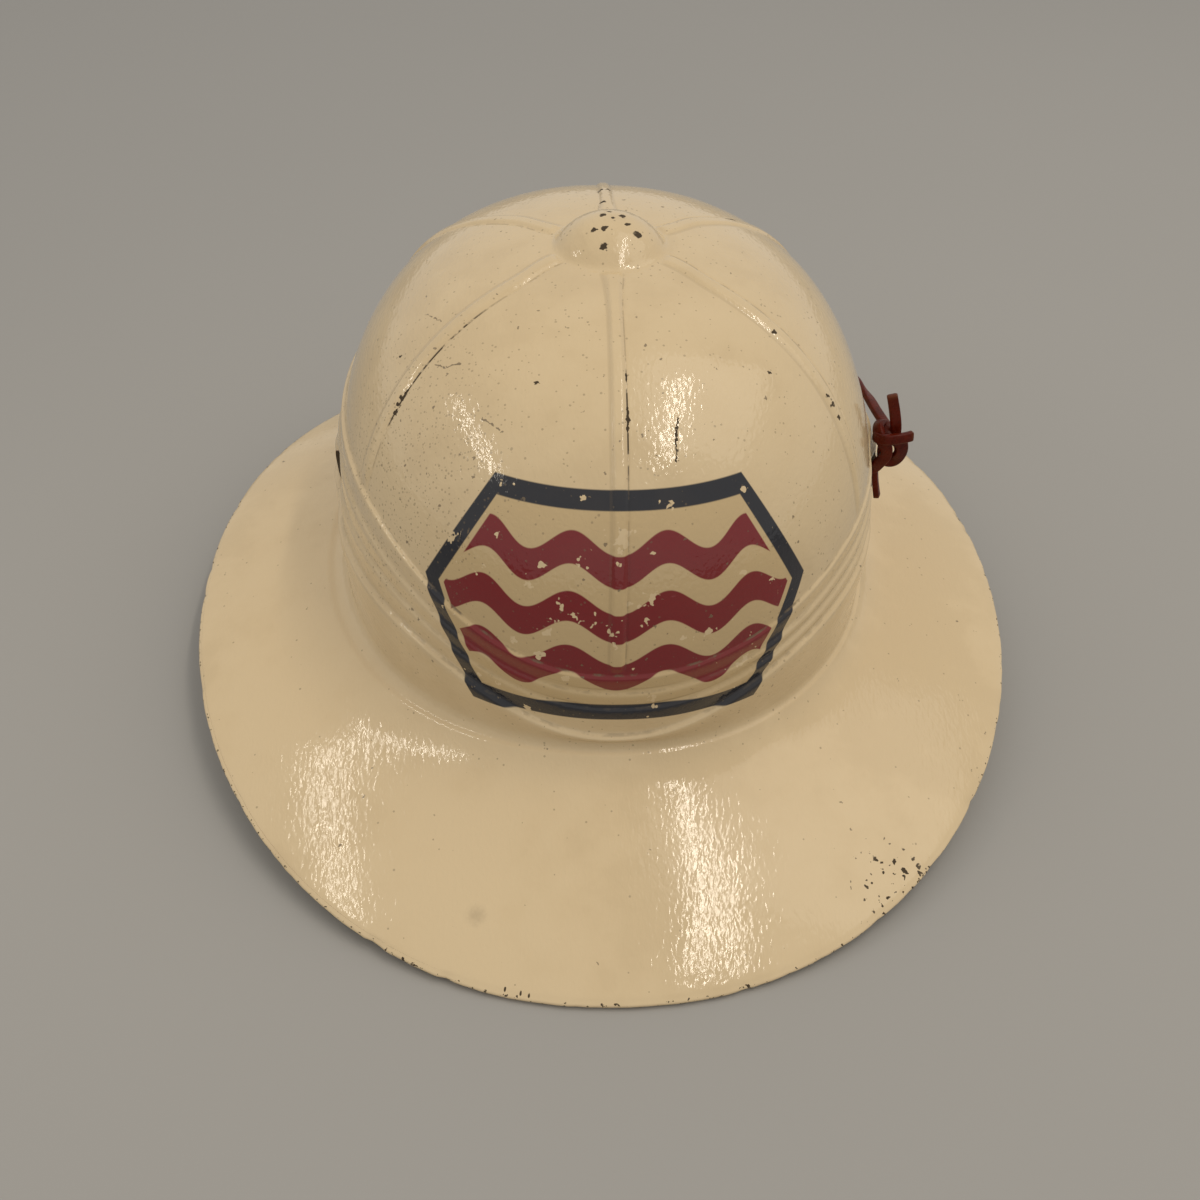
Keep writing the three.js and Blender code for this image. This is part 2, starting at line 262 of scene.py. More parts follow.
# The strap's route from its knot round the back of the crown, over the brim and up to its hole.
STRAP_ROUTE = MM * np.array([
    (90.4, -3.6, 82.6),
    (88.9, 3.2, 83.0),
    (87.7, 11.5, 83.0),
    (86.6, 21.5, 81.8),
    (84.9, 32.2, 79.0),
    (82.5, 43.6, 74.6),
    (79.2, 55.4, 68.6),
    (74.6, 67.2, 61.2),
    (68.4, 79.0, 53.0),
    (60.4, 90.0, 45.0),
    (50.6, 100.4, 37.6),
    (39.0, 109.6, 32.0),
    (26.0, 117.0, 29.2),
    (12.5, 121.4, 28.1),
    (-1.0, 123.0, 27.7),
    (-14.5, 121.8, 27.9),
    (-28.0, 117.6, 28.8),
    (-41.0, 110.6, 31.2),
    (-54.0, 101.8, 36.0),
    (-64.6, 93.6, 43.0),
    (-72.0, 87.0, 50.0),
    (-77.0, 82.4, 56.2),
    (-80.4, 79.0, 62.0),
    (-81.5, 76.5, 65.1),
    (-81.0, 73.3, 67.9),
    (-78.8, 70.1, 69.6),
    (-75.4, 67.5, 70.0),
    (-69.0, 63.8, 69.3),
])


class Strip(NamedTuple):
    """A strip of the knot.

    Its route and the ways that its broad face looks along it, its width as a share of the lace's, and
    whether its start and its end are raw cuts. The route is in millimetres.
    """

    route: tuple
    faces: tuple
    widening: float
    raw_ends: tuple


KNOT_STRIPS = {
    "lead": Strip(
        (
            (90.3, -3.85, 82.6),
            (88.6, -5.4, 84.4),
            (86.9, -8.2, 84.6),
            (87.4, -11.2, 82.4),
            (89.6, -12.2, 79.4),
            (90.0, -12.0, 76.4),
            (88.6, -11.6, 73.2),
            (87.2, -10.6, 70.4),
            (85.8, -9.2, 69.0),
            (83.2, -8.4, 69.4),
        ),
        (
            (0.2, 0.2, 1.0),
            (-0.4, 0.1, 0.9),
            (-0.9, -0.2, 0.4),
            (-0.7, -0.7, 0.1),
            (-0.3, -0.9, 0.3),
            (-0.1, -0.9, 0.3),
            (0.1, -0.9, 0.3),
            (0.2, -0.8, 0.5),
            (0.2, -0.6, 0.8),
            (0.0, -0.3, 1.0),
        ),
        1.15,
        (False, False),
    ),
    "band": Strip(
        (
            (93.4, -6.2, 81.6),
            (90.4, -5.4, 81.4),
            (87.2, -7.0, 81.6),
            (86.4, -10.4, 82.2),
            (88.2, -12.9, 83.0),
            (91.4, -13.3, 83.4),
            (94.4, -12.9, 83.6),
            (97.3, -12.0, 83.8),
        ),
        (
            (0.5, 0.9, 0.0),
            (0.0, 1.0, 0.0),
            (-0.8, 0.6, 0.0),
            (-1.0, -0.4, 0.1),
            (-0.4, -0.9, 0.1),
            (0.0, -1.0, 0.1),
            (0.1, -1.0, 0.1),
            (0.2, -1.0, 0.1),
        ),
        1.0,
        (False, True),
    ),
    "loop": Strip(
        (
            (91.6, -9.6, 82.0),
            (94.6, -9.8, 79.4),
            (95.3, -9.8, 76.0),
            (93.9, -9.6, 73.1),
            (91.2, -9.2, 72.9),
            (90.2, -8.8, 75.6),
            (90.2, -8.4, 79.4),
        ),
        ((0.35, -0.9, 0.2),) * 7,
        1.4,
        (False, False),
    ),
    "stub": Strip(
        ((92.6, -9.6, 79.5), (92.3, -9.3, 85.0), (90.9, -9.1, 91.0), (89.1, -9.0, 97.0)),
        ((0.15, -1.0, 0.1), (0.15, -1.0, 0.1), (0.05, -1.0, 0.1), (-0.15, -1.0, 0.1)),
        1.0,
        (False, True),
    ),
    "tail": Strip(
        ((88.0, -9.2, 71.5), (88.3, -9.6, 68.0), (89.1, -10.0, 63.6), (90.3, -10.5, 58.6)),
        ((0.9, -0.35, 0.0), (0.9, -0.3, 0.0), (0.9, -0.3, 0.0), (0.9, -0.4, 0.0)),
        0.85,
        (False, True),
    ),
    "core": Strip(
        ((88.0, -7.6, 83.4), (89.8, -8.0, 83.8), (91.6, -8.6, 83.4), (93.0, -9.2, 82.2)),
        ((0.0, -0.5, 0.9),) * 4,
        1.4,
        (False, False),
    ),
}

# Where each stop knot's lace comes in, and the way that it comes.
STOPS = {
    "lace_stop_side": (MM * np.array((83.2, -8.4, 69.4)), np.array((-1.0, 0.0, 0.0))),
    "lace_stop_rear": (MM * np.array((-69.0, 63.8, 69.3)), np.array((0.866, -0.491, -0.091))),
}
STOP_RADIUS = 6 * MM
STOP_HALF_LENGTH = 4.2 * MM
STOP_GAP = 0.3 * MM

# The camera's place and turn in front of the helmet, and its lens.
CAMERA_PLACE = Vector((-0.0183, -0.3531, 0.3176))
CAMERA_ELEVATION = math.radians(41.594)
CAMERA_YAW = math.radians(2.961)
CAMERA_ROLL = math.radians(-1.722)
CAMERA_LENS = 39.07
CAMERA_SENSOR = 36.0

# The lamps: the place of each, its size across and fore and aft, and its power.
LAMPS = {
    "lamp_right": ((0.41, -0.23, 1.25), (0.06, 0.94), 3.0),
    "lamp_left": ((-0.30, -0.10, 0.347), (0.011, 0.25), 0.14),
    "lamp_above": ((0.58, 0.0, 1.1), (0.9, 0.9), 2.2),
}
LAMP_AIM = Vector((0, -0.02, 0.07))
LAMP_COLOUR = (1.0, 0.92, 0.80)
ROOM_COLOUR = (0.98, 0.95, 0.90, 1)
ROOM_STRENGTH = 0.615
FLOOR_HALF = 4.0


# Settings that a user would change


def colour_setting(name, description, default):
    return bpy.props.FloatVectorProperty(
        name=name, description=description, default=default, size=3, min=0, max=1, subtype="COLOR"
    )


def length_setting(name, description, default):
    return bpy.props.FloatProperty(
        name=name,
        description=description,
        default=default,
        min=0,
        precision=5,
        subtype="DISTANCE",
        unit="LENGTH",
    )


class HelmetShape(bpy.types.PropertyGroup):
    """Sizes of the shell's relief and of the lace."""

    wall: length_setting("Wall", "Thickness of the pressed fibre", 2.4 * MM)
    rib_height: length_setting("Rib height", "How far the ribs stand out of the crown", 0.75 * MM)
    waviness: length_setting("Waviness", "How far the pressed skin wanders from its true form", 0.3 * MM)
    nick_depth: length_setting("Nick depth", "Depth of the nicks in the brim's cut edge", 0.7 * MM)
    lace_width: length_setting("Lace width", "Width of the flat lace", 3.4 * MM)
    lace_thickness: length_setting("Lace thickness", "Thickness of the flat lace", 2 * MM)


class HelmetColours(bpy.types.PropertyGroup):
    """Colours of the enamel, of what shows where it is worn, and of the lace."""

    enamel: colour_setting("Enamel", "Clean cream enamel", (0.72, 0.565, 0.348))
    aged: colour_setting("Aged enamel", "Enamel that has yellowed", (0.62, 0.465, 0.262))
    # Grime is also painted as shade along the ribs' feet and as a veil over the crown.
    grime: colour_setting("Grime", "Dirt in the creases", (0.16, 0.115, 0.065))
    # The chip colour is also painted as shade round the lace holes.
    chip: colour_setting("Chip", "Dark fibre under chipped enamel", (0.052, 0.033, 0.014))
    fibre: colour_setting("Fibre", "Bare fibre inside the crown", (0.27, 0.185, 0.105))
    panel_border: colour_setting("Panel border", "Dark border of the painted panel", (0.012, 0.016, 0.026))
    panel_ground: colour_setting("Panel ground", "Pale ground of the painted panel", (0.58, 0.43, 0.23))
    panel_band: colour_setting("Panel bands", "Wavy bands of the painted panel", (0.19, 0.008, 0.014))
    leather: colour_setting("Leather", "Waxed face of the lace", (0.105, 0.0085, 0.0015))
    leather_raw: colour_setting("Raw leather", "Cut ends and worn patches", (0.12, 0.035, 0.011))
    floor: colour_setting("Floor", "Plain pale floor", (0.368, 0.358, 0.341))


# Arrays of points


def smooth(low, high, value):
    """0 below low and 1 above high, with an S-shaped way between: 3t squared less 2t cubed."""
    share = np.clip((value - low) / (high - low), 0, 1)
    return share * share * (3 - 2 * share)


def mixed(first, second, share):
    return first + (second - first) * share


def unit(vectors):
    return vectors / np.maximum(np.linalg.norm(vectors, axis=-1, keepdims=True), 1e-12)


def signed_turn(angle, start):
    """Angle from a start, between minus and plus half a turn."""
    return (angle - start + math.pi) % (2 * math.pi) - math.pi


def rightward(angle):
    """0 on the left and 1 on the right, with an S-shaped way over the front and the back."""
    return smooth(-0.4, 0.4, np.cos(angle))


def lengths_along(points):
    """The length along a row of points up to each of them."""
    return np.concatenate([[0], np.cumsum(np.linalg.norm(np.diff(points, axis=0), axis=1))])


def lattice_noise(points, cell, seed):
    """Smooth noise from -1 to 1: random values on a cubic lattice, blended by S-shaped shares."""
    side = 32
    values = np.random.default_rng(seed).uniform(-1, 1, (side, side, side))
    place = np.asarray(points) / cell
    corner = np.floor(place).astype(int)
    share = place - corner
    share = share * share * (3 - 2 * share)
    total = 0
    for step in np.ndindex(2, 2, 2):
        weight = np.prod(np.where(np.array(step) == 1, share, 1 - share), axis=-1)
        index = (corner + step) % side
        total = total + weight * values[index[..., 0], index[..., 1], index[..., 2]]
    return total


def plan_points(size, angle):
    """Superellipse in plan: a half size times the cosine or sine to the power 2 over the fullness."""
    power = 2 / size.fullness
    across = np.cos(angle)
    along = np.sin(angle)
    x = size.half_width * np.sign(across) * np.abs(across) ** power
    y = size.half_length * np.sign(along) * np.abs(along) ** power + size.centre_y
    return x, y


def edge_height(angle):
    """Height of the brim's lower edge: flat at both ends, rising as the squared cosine to the sides."""
    flat = math.sin(Brim.rest_half_angle) ** 2
    raised = np.maximum(0, np.cos(angle) ** 2 - flat) / (1 - flat)
    return Brim.side_rise * raised * (1 + Brim.rear_lean * np.sin(angle))


def crown_height(ring):
    """Height where the crown's rings have drawn in to a share of the wall's plan."""
    climb = np.arccos(np.clip(ring, 0, 1) ** (1 / Crown.side_power))
    return mixed(Crown.foot, Crown.top, np.sin(climb) ** Crown.top_power)


def climb_at_height(height):
    """The crown's climb angle at a height: 0 at its foot and a right angle at its top."""
    share = np.clip((height - Crown.foot) / (Crown.top - Crown.foot), 0, 1)
    return np.arcsin(share ** (1 / Crown.top_power))


def ring_at_height(height):
    """The ring's share of the wall's plan at a height of the crown."""
    return np.cos(climb_at_height(height)) ** Crown.side_power


def crown_points(angle, ring):
    """The wall's plan drawn in by the ring's share, at that ring's height."""
    x, y = plan_points(Crown, angle)
    centred = mixed(Crown.centre_y, y, ring)
    return np.stack([x * ring, centred, crown_height(ring) + 0 * x], axis=-1)


def brim_points(angle, share):
    """A cubic curve from the crown's foot, first downwards and then out to the edge, at each angle."""
    angle, share = np.broadcast_arrays(angle, share)
    wall_x, wall_y = plan_points(Crown, angle)
    edge_x, edge_y = plan_points(Brim, angle)
    edge = edge_height(angle) + Brim.edge_depth
    slope = mixed(Brim.root, edge, Brim.slope_reach) + Brim.slope_bulge
    rest = 1 - share
    out = 3 * rest * share**2 * Brim.slope_reach + share**3
    height = rest**3 * Crown.foot + 3 * rest**2 * share * Brim.root
    height = height + 3 * rest * share**2 * slope + share**3 * edge
    return np.stack([mixed(wall_x, edge_x, out), mixed(wall_y, edge_y, out), height], axis=-1)


def top_points(angle, radius):
    """The crown's top round the button: circles that widen into the crown's oval rings.

    The height is the crown's own, or the button's round cap where that stands higher, with a small fillet.
    """
    ring = radius / Crown.half_width
    oval = crown_points(angle, ring)
    round_share = 1 - smooth(Button.radius + 2 * MM, TOP_ZONE_RADIUS, radius)
    x = mixed(oval[..., 0], radius * np.cos(angle), round_share)
    y = mixed(oval[..., 1], Crown.centre_y + radius * np.sin(angle), round_share)
    inside = np.abs(x / Crown.half_width) ** Crown.fullness
    inside = inside + np.abs((y - Crown.centre_y) / Crown.half_length) ** Crown.fullness
    crown = crown_height(inside ** (1 / Crown.fullness))
    foot = crown_height(Button.radius / Crown.half_length)
    rise = Button.top - foot
    cap_radius = (Button.radius**2 + rise**2) / (2 * rise)
    from_axis = np.hypot(x, y - Crown.centre_y)
    cap = Button.top - cap_radius + np.sqrt(np.maximum(cap_radius**2 - from_axis**2, 0))
    gap = np.maximum(Button.fillet - np.abs(cap - crown), 0)
    height = np.maximum(cap, crown) + gap**2 / (4 * Button.fillet)
    return np.stack([x, y, height], axis=-1)


def grid_normals(points):
    """Unit normals of a grid that closes on itself along its columns, from differences of neighbours."""
    down = np.gradient(points, axis=0)
    across = np.roll(points, -1, axis=1) - np.roll(points, 1, axis=1)
    return unit(np.cross(down, across))


def grid_faces(rows, columns):
    """Corner numbers of the four-sided faces of a grid that closes on itself along its columns."""
    row, column = np.meshgrid(np.arange(rows - 1), np.arange(columns), indexing="ij")
    after = (column + 1) % columns
    upper = row * columns
    lower = upper + columns
    corners = [upper + column, lower + column, lower + after, upper + after]
    return np.stack(corners, axis=-1).reshape(-1, 4)


def fan_faces(ring, centre, turn):
    """Three-sided faces from a closed ring of corner numbers to one centre, either way round."""
    after = np.roll(ring, -1)
    middle = np.full_like(ring, centre)
    sides = (middle, ring, after) if turn else (middle, after, ring)
    return np.stack(sides, axis=-1)


def closed_faces(rows, columns):
    """Faces of a grid of rings, and of the fans to the two centres that follow the grid's points."""
    count = rows * columns
    ring = np.arange(columns)
    fans = [fan_faces(ring, count, True), fan_faces(ring + count - columns, count + 1, False)]
    return grid_faces(rows, columns), np.concatenate(fans)


def mesh_object(name, points, quads, triangles, materials):
    """A smooth mesh from arrays of points and of corner numbers, with its materials in their slots."""
    mesh = bpy.data.meshes.new(name)
    mesh.from_pydata(points, [], quads.tolist() + triangles.tolist())
    mesh.validate()
    mesh.polygons.foreach_set("use_smooth", np.ones(len(mesh.polygons), bool))
    for material in materials:
        mesh.materials.append(material)
    piece = bpy.data.objects.new(name, mesh)
    bpy.context.scene.collection.objects.link(piece)
    return piece


def set_attribute(mesh, name, values):
    attribute = mesh.attributes.new(name, "FLOAT", "POINT")
    attribute.data.foreach_set("value", np.asarray(values, np.float32).ravel())


# The shell


def fold_heights(angle):
    """Heights of the fold lines, which dip from either side to the ends as a power of the sine."""
    dip = np.abs(np.sin(angle))
    sides = [mixed(fold.left, fold.right, rightward(angle)) for fold in FOLDS]
    return [mixed(side, fold.front, dip**fold.dip_power) for side, fold in zip(sides, FOLDS)]


def overlap_height(lines, index):
    """Where the next fold's lip overlaps a fold, or the crown's foot under the last fold."""
    if index + 1 == len(FOLDS):
        return Crown.foot
    return lines[index + 1] + FOLDS[index + 1].lip


def fold_relief(height, angle):
    """How far the folds stand out, the signed height over the nearest fold line, and that line's dirt.

    Each fold has a crest on its line, falls back below it, and is overlapped by the next fold's lip.
    """
    lines = fold_heights(angle)
    lift = np.zeros_like(height)
    nearest = np.full_like(height, 1.0)
    dirt = np.zeros_like(height)
    front = 1 - smooth(0.5, 0.9, np.abs(signed_turn(angle, Rib.first_angle)))
    kept = 0.0
    for index, (line, fold) in enumerate(zip(lines, FOLDS)):
        step = mixed(fold.left_step, fold.right_step, rightward(angle))
        below = overlap_height(lines, index)
        left = 0.0 if fold is FOLDS[-1] else step * FOLD_KEPT
        lip = mixed(kept, step, smooth(line + fold.lip, line, height))
        fall = mixed(step, left, smooth(0, 1, (line - height) / np.maximum(line - below, MM)))
        lift = np.where((height <= line + fold.lip) & (height > line), lip, lift)
        lift = np.where((height <= line) & (height > below), fall, lift)
        over = height - line
        closer = np.abs(over) < np.abs(nearest)
        nearest = np.where(closer, over, nearest)
        dirt = np.where(closer, fold.dirt + fold.front_dirt * front, dirt)
        kept = left
    return lift, nearest, dirt


def foot_relief(height, angle):
    """The lip at the crown's foot: an S-shaped rise over a line that wanders, dying away below it."""
    side = mixed(Foot.left, Foot.right, rightward(angle))
    line = mixed(side, Foot.front, np.abs(np.sin(angle)) ** 4)
    below = line - height
    return Foot.step * smooth(-Foot.lip, 0, below) * (1 - smooth(0, Foot.reach, below))


def column_angles(span, ribbed):
    """Angles of the columns in each row: close together over the ribs, and even where the ribs have ended.

    span is the length of a radian in each row at each rib, and ribbed fades the ribs' hold on the columns.
    """
    even = RIB_ZONE_SHARE * PITCH
    zone = np.minimum(RIB_ZONE / span, RIB_ZONE_MOST * PITCH)
    zone = mixed(even, zone, ribbed[:, None])
    share = np.arange(SECTOR_COLUMNS) / SECTOR_COLUMNS
    near = zone[:, :, None]
    far = np.roll(zone, -1, axis=1)[:, :, None]
    plain = (share - RIB_ZONE_SHARE) / (1 - 2 * RIB_ZONE_SHARE)
    offset = mixed(near, PITCH - far, plain)
    offset = np.where(share < RIB_ZONE_SHARE, near * share / RIB_ZONE_SHARE, offset)
    offset = np.where(share > 1 - RIB_ZONE_SHARE, PITCH - far * (1 - share) / RIB_ZONE_SHARE, offset)
    angles = RIB_ANGLES[None, :, None] + offset
    return angles.reshape(len(span), -1)


def outer_rows():
    """The skin's rows from the button's top to the brim's edge.

    Each is a function of the angle, with the share of its columns that the ribs draw together.
    """
    rows = []
    for radius in np.linspace(0.7 * MM, TOP_ZONE_RADIUS, TOP_ROWS):
        rows.append((lambda angle, radius=radius: top_points(angle, radius), 1.0))
    top_climb = math.acos((TOP_ZONE_RADIUS / Crown.half_width) ** (1 / Crown.side_power))
    for share in np.linspace(0, 1, WALL_ROWS)[1:]:
        def wall(angle, share=share):
            foot_climb = climb_at_height(fold_heights(angle)[0] + 2 * FOLDS[0].lip)
            return crown_points(angle, np.cos(mixed(top_climb, foot_climb, share)) ** Crown.side_power)
        rows.append((wall, 1.0))
    for index, fold in enumerate(FOLDS):
        ribbed = 1 - smooth(0, 2, index)
        for share in LIP_STEPS:
            def lip(angle, index=index, rise=share * fold.lip):
                return crown_points(angle, ring_at_height(fold_heights(angle)[index] + rise))
            rows.append((lip, ribbed))
        for share in FALL_STEPS:
            def fall(angle, index=index, share=share):
                lines = fold_heights(angle)
                below = overlap_height(lines, index)
                return crown_points(angle, ring_at_height(mixed(lines[index], below, share)))
            rows.append((fall, ribbed))
    for share in BRIM_SHARES:
        rows.append((lambda angle, share=share: brim_points(angle, share), 0.0))
    return rows


def rows_on_skin(rows):
    """Evaluates rows of the skin at their columns: the angles and the points, each as a grid."""
    small = 1e-4
    ribbed = np.array([share for _, share in rows])
    steps = np.array([row(RIB_ANGLES + small) - row(RIB_ANGLES - small) for row, _ in rows])
    span = np.linalg.norm(steps, axis=-1) / (2 * small)
    angles = column_angles(span, ribbed)
    points = np.stack([row(angle) for (row, _), angle in zip(rows, angles)])
    return angles, points, span


def rib_relief(angles, span, points, height):
    """The ribs' lift, the signed distance from the nearest rib, and where the ribs show.

    A rib is a low round ridge with an S-shaped fall on either side and a fine groove along one foot.
    """
    turn = (angles - Rib.first_angle + PITCH / 2) % PITCH - PITCH / 2
    which = np.round((angles - Rib.first_angle) / PITCH).astype(int) % Rib.count
    signed = turn * np.take_along_axis(span, which, axis=1)
    across = np.abs(signed)
    from_axis = np.hypot(points[..., 0], points[..., 1] - Crown.centre_y)
    start = smooth(Button.radius + 0.5 * MM, Button.radius + 3.5 * MM, from_axis)
    first_line = fold_heights(angles)[0]
    end = smooth(first_line, first_line + Rib.fade, points[..., 2])
    shown = start * end
    body = height * (1 - smooth(Rib.top_width / 2, Rib.foot_width / 2, across))
    groove = Rib.groove * np.exp(-(((signed - Rib.foot_width / 2) / Rib.groove_width) ** 2))
    return shown * (body - groove), signed, shown


def edge_nicks(angle, depth):
    """How far the brim's cut edge is worn back: seeded nicks as narrow bells, and a fine roughness."""
    draw = np.random.default_rng(11)
    count = 80
    fine_wear = 0.13 * MM
    places = draw.uniform(0, 2 * math.pi, count)
    widths = draw.uniform(0.5, 2.2, count) * MM / Brim.half_width
    depths = depth * draw.uniform(0.15, 1, count) ** 2
    turn = signed_turn(angle[..., None], places)
    nicks = np.sum(depths * np.exp(-((turn / widths) ** 2)), axis=-1)
    ring = np.stack([np.cos(angle), np.sin(angle), 0 * angle], axis=-1)
    rough = lattice_noise(ring * Brim.half_width, 2.4 * MM, 5)
    return nicks + fine_wear * (1 + rough)


def rim_points(angle, inset, rise):
    """A row of the cut edge: set in from the edge towards the crown, at a height over the lower edge."""
    edge_x, edge_y = plan_points(Brim, angle)
    wall_x, wall_y = plan_points(Crown, angle)
    length = np.hypot(edge_x - wall_x, edge_y - wall_y)
    share = inset / length
    x = mixed(edge_x, wall_x, share)
    y = mixed(edge_y, wall_y, share)
    return np.stack([x, y, edge_height(angle) + rise], axis=-1)


def inner_rows():
    """The plain inside's rows from the brim's edge to the crown's top, to be set in by the wall."""
    rows = []
    for share in np.linspace(0.93, 0, INNER_BRIM_ROWS):
        rows.append((lambda angle, share=share: brim_points(angle, share), 0.0))
    for climb in np.linspace(0, math.pi / 2, INNER_CROWN_ROWS)[1:-1]:
        ring = math.cos(climb) ** Crown.side_power
        rows.append((lambda angle, ring=ring: crown_points(angle, np.full_like(angle, ring)), 0.0))
    return rows


def hole_centre(angle):
    """The middle of a hole on the crown's wall."""
    return crown_points(np.array(angle), ring_at_height(HOLE_HEIGHT))


def hole_warp(points):
    """The wall pulled out of true at the holes: a slope times the way forward, under a bell at each."""
    lift = 0
    small = 0.01
    for angle, (slope, raised) in zip(HOLE_ANGLES, HOLE_PULLS):
        centre = hole_centre(angle)
        forward = unit(hole_centre(angle + small) - centre)
        forward = -forward * np.sign(forward[1])
        away = points - centre
        bell = np.exp(-np.sum(away**2, axis=-1) / (2 * HOLE_REACH**2))
        lift = lift + (raised - slope * (away @ forward)) * bell
    return lift


def slow_wave(points):
    """The pressed skin's slow wandering, which the inside follows."""
    return lattice_noise(points, 46 * MM, 3)


def edge_calm(edge_gap):
    """0 at the brim's edge and 1 well inside it, where the skin is free to wander."""
    return smooth(1 * MM, 16 * MM, edge_gap)


def cut_edge(angle, depth):
    """The brim's cut edge, row by row, with its nicks."""
    nicks = edge_nicks(angle, depth)
    return np.stack([rim_points(angle, inset + nicks, rise) for inset, rise in RIM_ROWS])


def inner_grid(shape, edge):
    """The inside: its rows set in by the wall, less the outer skin's slow waves and its pulls."""
    _, skin, _ = rows_on_skin(inner_rows())
    calm = edge_calm(np.linalg.norm(skin - edge, axis=-1))
    wave = shape.waviness * slow_wave(skin) * calm
    return skin + grid_normals(skin) * (shape.wall - wave - hole_warp(skin))[..., None]


def panel_places(angles, skin):
    """Places on the painted panel: across it by the angle, and up it by the length along the front."""
    front = skin[:, 0]
    lengths = lengths_along(front)
    middle = np.interp(-PANEL_HEIGHT, -front[:, 2], lengths)
    up = middle - np.interp(-skin[..., 2], -front[:, 2], lengths)
    return signed_turn(angles, Rib.first_angle) * PANEL_RADIUS, up


def shell_arrays(shape):
    """The shell's grids, outer skin, cut edge and inside in a row, and what its materials read."""
    angles, skin, span = rows_on_skin(outer_rows())
    height = skin[..., 2]
    edge = brim_points(angles, np.ones_like(angles))
    edge_gap = np.linalg.norm(edge - skin, axis=-1)
    rib_lift, rib_side, rib_shown = rib_relief(angles, span, skin, shape.rib_height)
    fold_lift, fold_gap, fold_dirt = fold_relief(height, angles)
    on_crown = height > Crown.foot
    fold_lift = np.where(on_crown, fold_lift, foot_relief(height, angles))
    wave = shape.waviness * (slow_wave(skin) + 0.35 * lattice_noise(skin, 17 * MM, 4))
    lift = rib_lift + fold_lift + wave * edge_calm(edge_gap) + hole_warp(skin)
    wall_x, wall_y = plan_points(Crown, angles)
    inward = unit(np.stack([wall_x - edge[..., 0], wall_y - edge[..., 1], 0 * wall_x], axis=-1))
    worn = edge_nicks(angles, shape.nick_depth) * (1 - smooth(0, 2.5 * MM, edge_gap))
    outer = skin + grid_normals(skin) * lift[..., None] + inward * worn[..., None]
    rim = cut_edge(angles[-1], shape.nick_depth)
    inner = inner_grid(shape, edge[-1])
    panel_side, panel_up = panel_places(angles, skin)
    far = 1.0

    def joined(outside, on_rim, on_inner):
        plain = [np.full(grid.shape[:2], value) for grid, value in ((rim, on_rim), (inner, on_inner))]
        return np.concatenate([outside, *plain]).ravel()

    attributes = {
        "rib_side": joined(rib_side, far, far),
        "rib_shown": joined(rib_shown, 0, 0),
        "fold_gap": joined(fold_gap, far, far),
        "fold_dirt": joined(np.where(on_crown, fold_dirt, 0), 0, 0),
        "edge_gap": joined(edge_gap, 0, far),
        "panel_side": joined(panel_side, far, far),
        "panel_up": joined(panel_up, far, far),
        "inside": joined(np.zeros(height.shape), 0, 1),
    }
    return (outer, rim, inner), attributes


def shell_piece(shape, enamel, fibre):
    """Joins the shell's grids with its two poles, and gives the inside of the crown the bare fibre."""
    grids, attributes = shell_arrays(shape)
    whole = np.concatenate(grids)
    rows, columns, _ = whole.shape
    top = (0, Crown.centre_y, Button.top)
    bottom = (0, Crown.centre_y, Crown.top - shape.wall)
    quads, caps = closed_faces(rows, columns)
    points = np.concatenate([whole.reshape(-1, 3), (top, bottom)])
    piece = mesh_object("helmet_shell", points, quads, caps, [enamel, fibre])
    for name, values in attributes.items():
        set_attribute(piece.data, name, np.concatenate([values, values[[0, -1]]]))
    bare_from = len(grids[0]) + len(grids[1]) + INNER_BRIM_ROWS
    index = np.zeros(len(piece.data.polygons), np.int32)
    index[bare_from * columns:len(quads)] = 1
    index[len(quads) + columns:] = 1
    piece.data.polygons.foreach_set("material_index", index)
    return piece


def hole_cutter(angle, fibre):
    """A drill for one hole: a round bar square to the crown's wall, two rings closed by fans."""
    small = 1e-3
    sides = 48
    reach = 12 * MM
    centre = hole_centre(angle)
    along = hole_centre(angle + small) - centre
    up = crown_points(np.array(angle), ring_at_height(HOLE_HEIGHT + small * MM)) - centre
    way = unit(np.cross(along, up))
    side = unit(along)
    over = np.cross(way, side)
    turn = np.linspace(0, 2 * math.pi, sides, endpoint=False)[:, None]
    circle = HOLE_RADIUS * (np.cos(turn) * side + np.sin(turn) * over)
    ends = (centre + way * reach, centre - way * reach)
    points = np.concatenate([ends[0] + circle, ends[1] + circle, ends])
    quads, caps = closed_faces(2, sides)
    return mesh_object("hole_cutter", points, quads, caps, [fibre])


def cut_holes(piece, fibre):
    """Punches the lace's holes through the wall, made of flat faces for clean cuts, and keeps the mesh."""
    cutters = [hole_cutter(angle, fibre) for angle in HOLE_ANGLES]
    piece.modifiers.new("flat_faces", "TRIANGULATE")
    for cutter in cutters:
        cut = piece.modifiers.new("hole", "BOOLEAN")
        cut.object = cutter
        cut.operation = "DIFFERENCE"
        cut.solver = "EXACT"
    bpy.context.view_layer.update()
    evaluated = piece.evaluated_get(bpy.context.evaluated_depsgraph_get())
    mesh = bpy.data.meshes.new_from_object(evaluated)
    piece.modifiers.clear()
    whole = piece.data
    piece.data = mesh
    bpy.data.meshes.remove(whole)
    mesh.name = piece.name
    for cutter in cutters:
        bpy.data.objects.remove(cutter)


# The lace


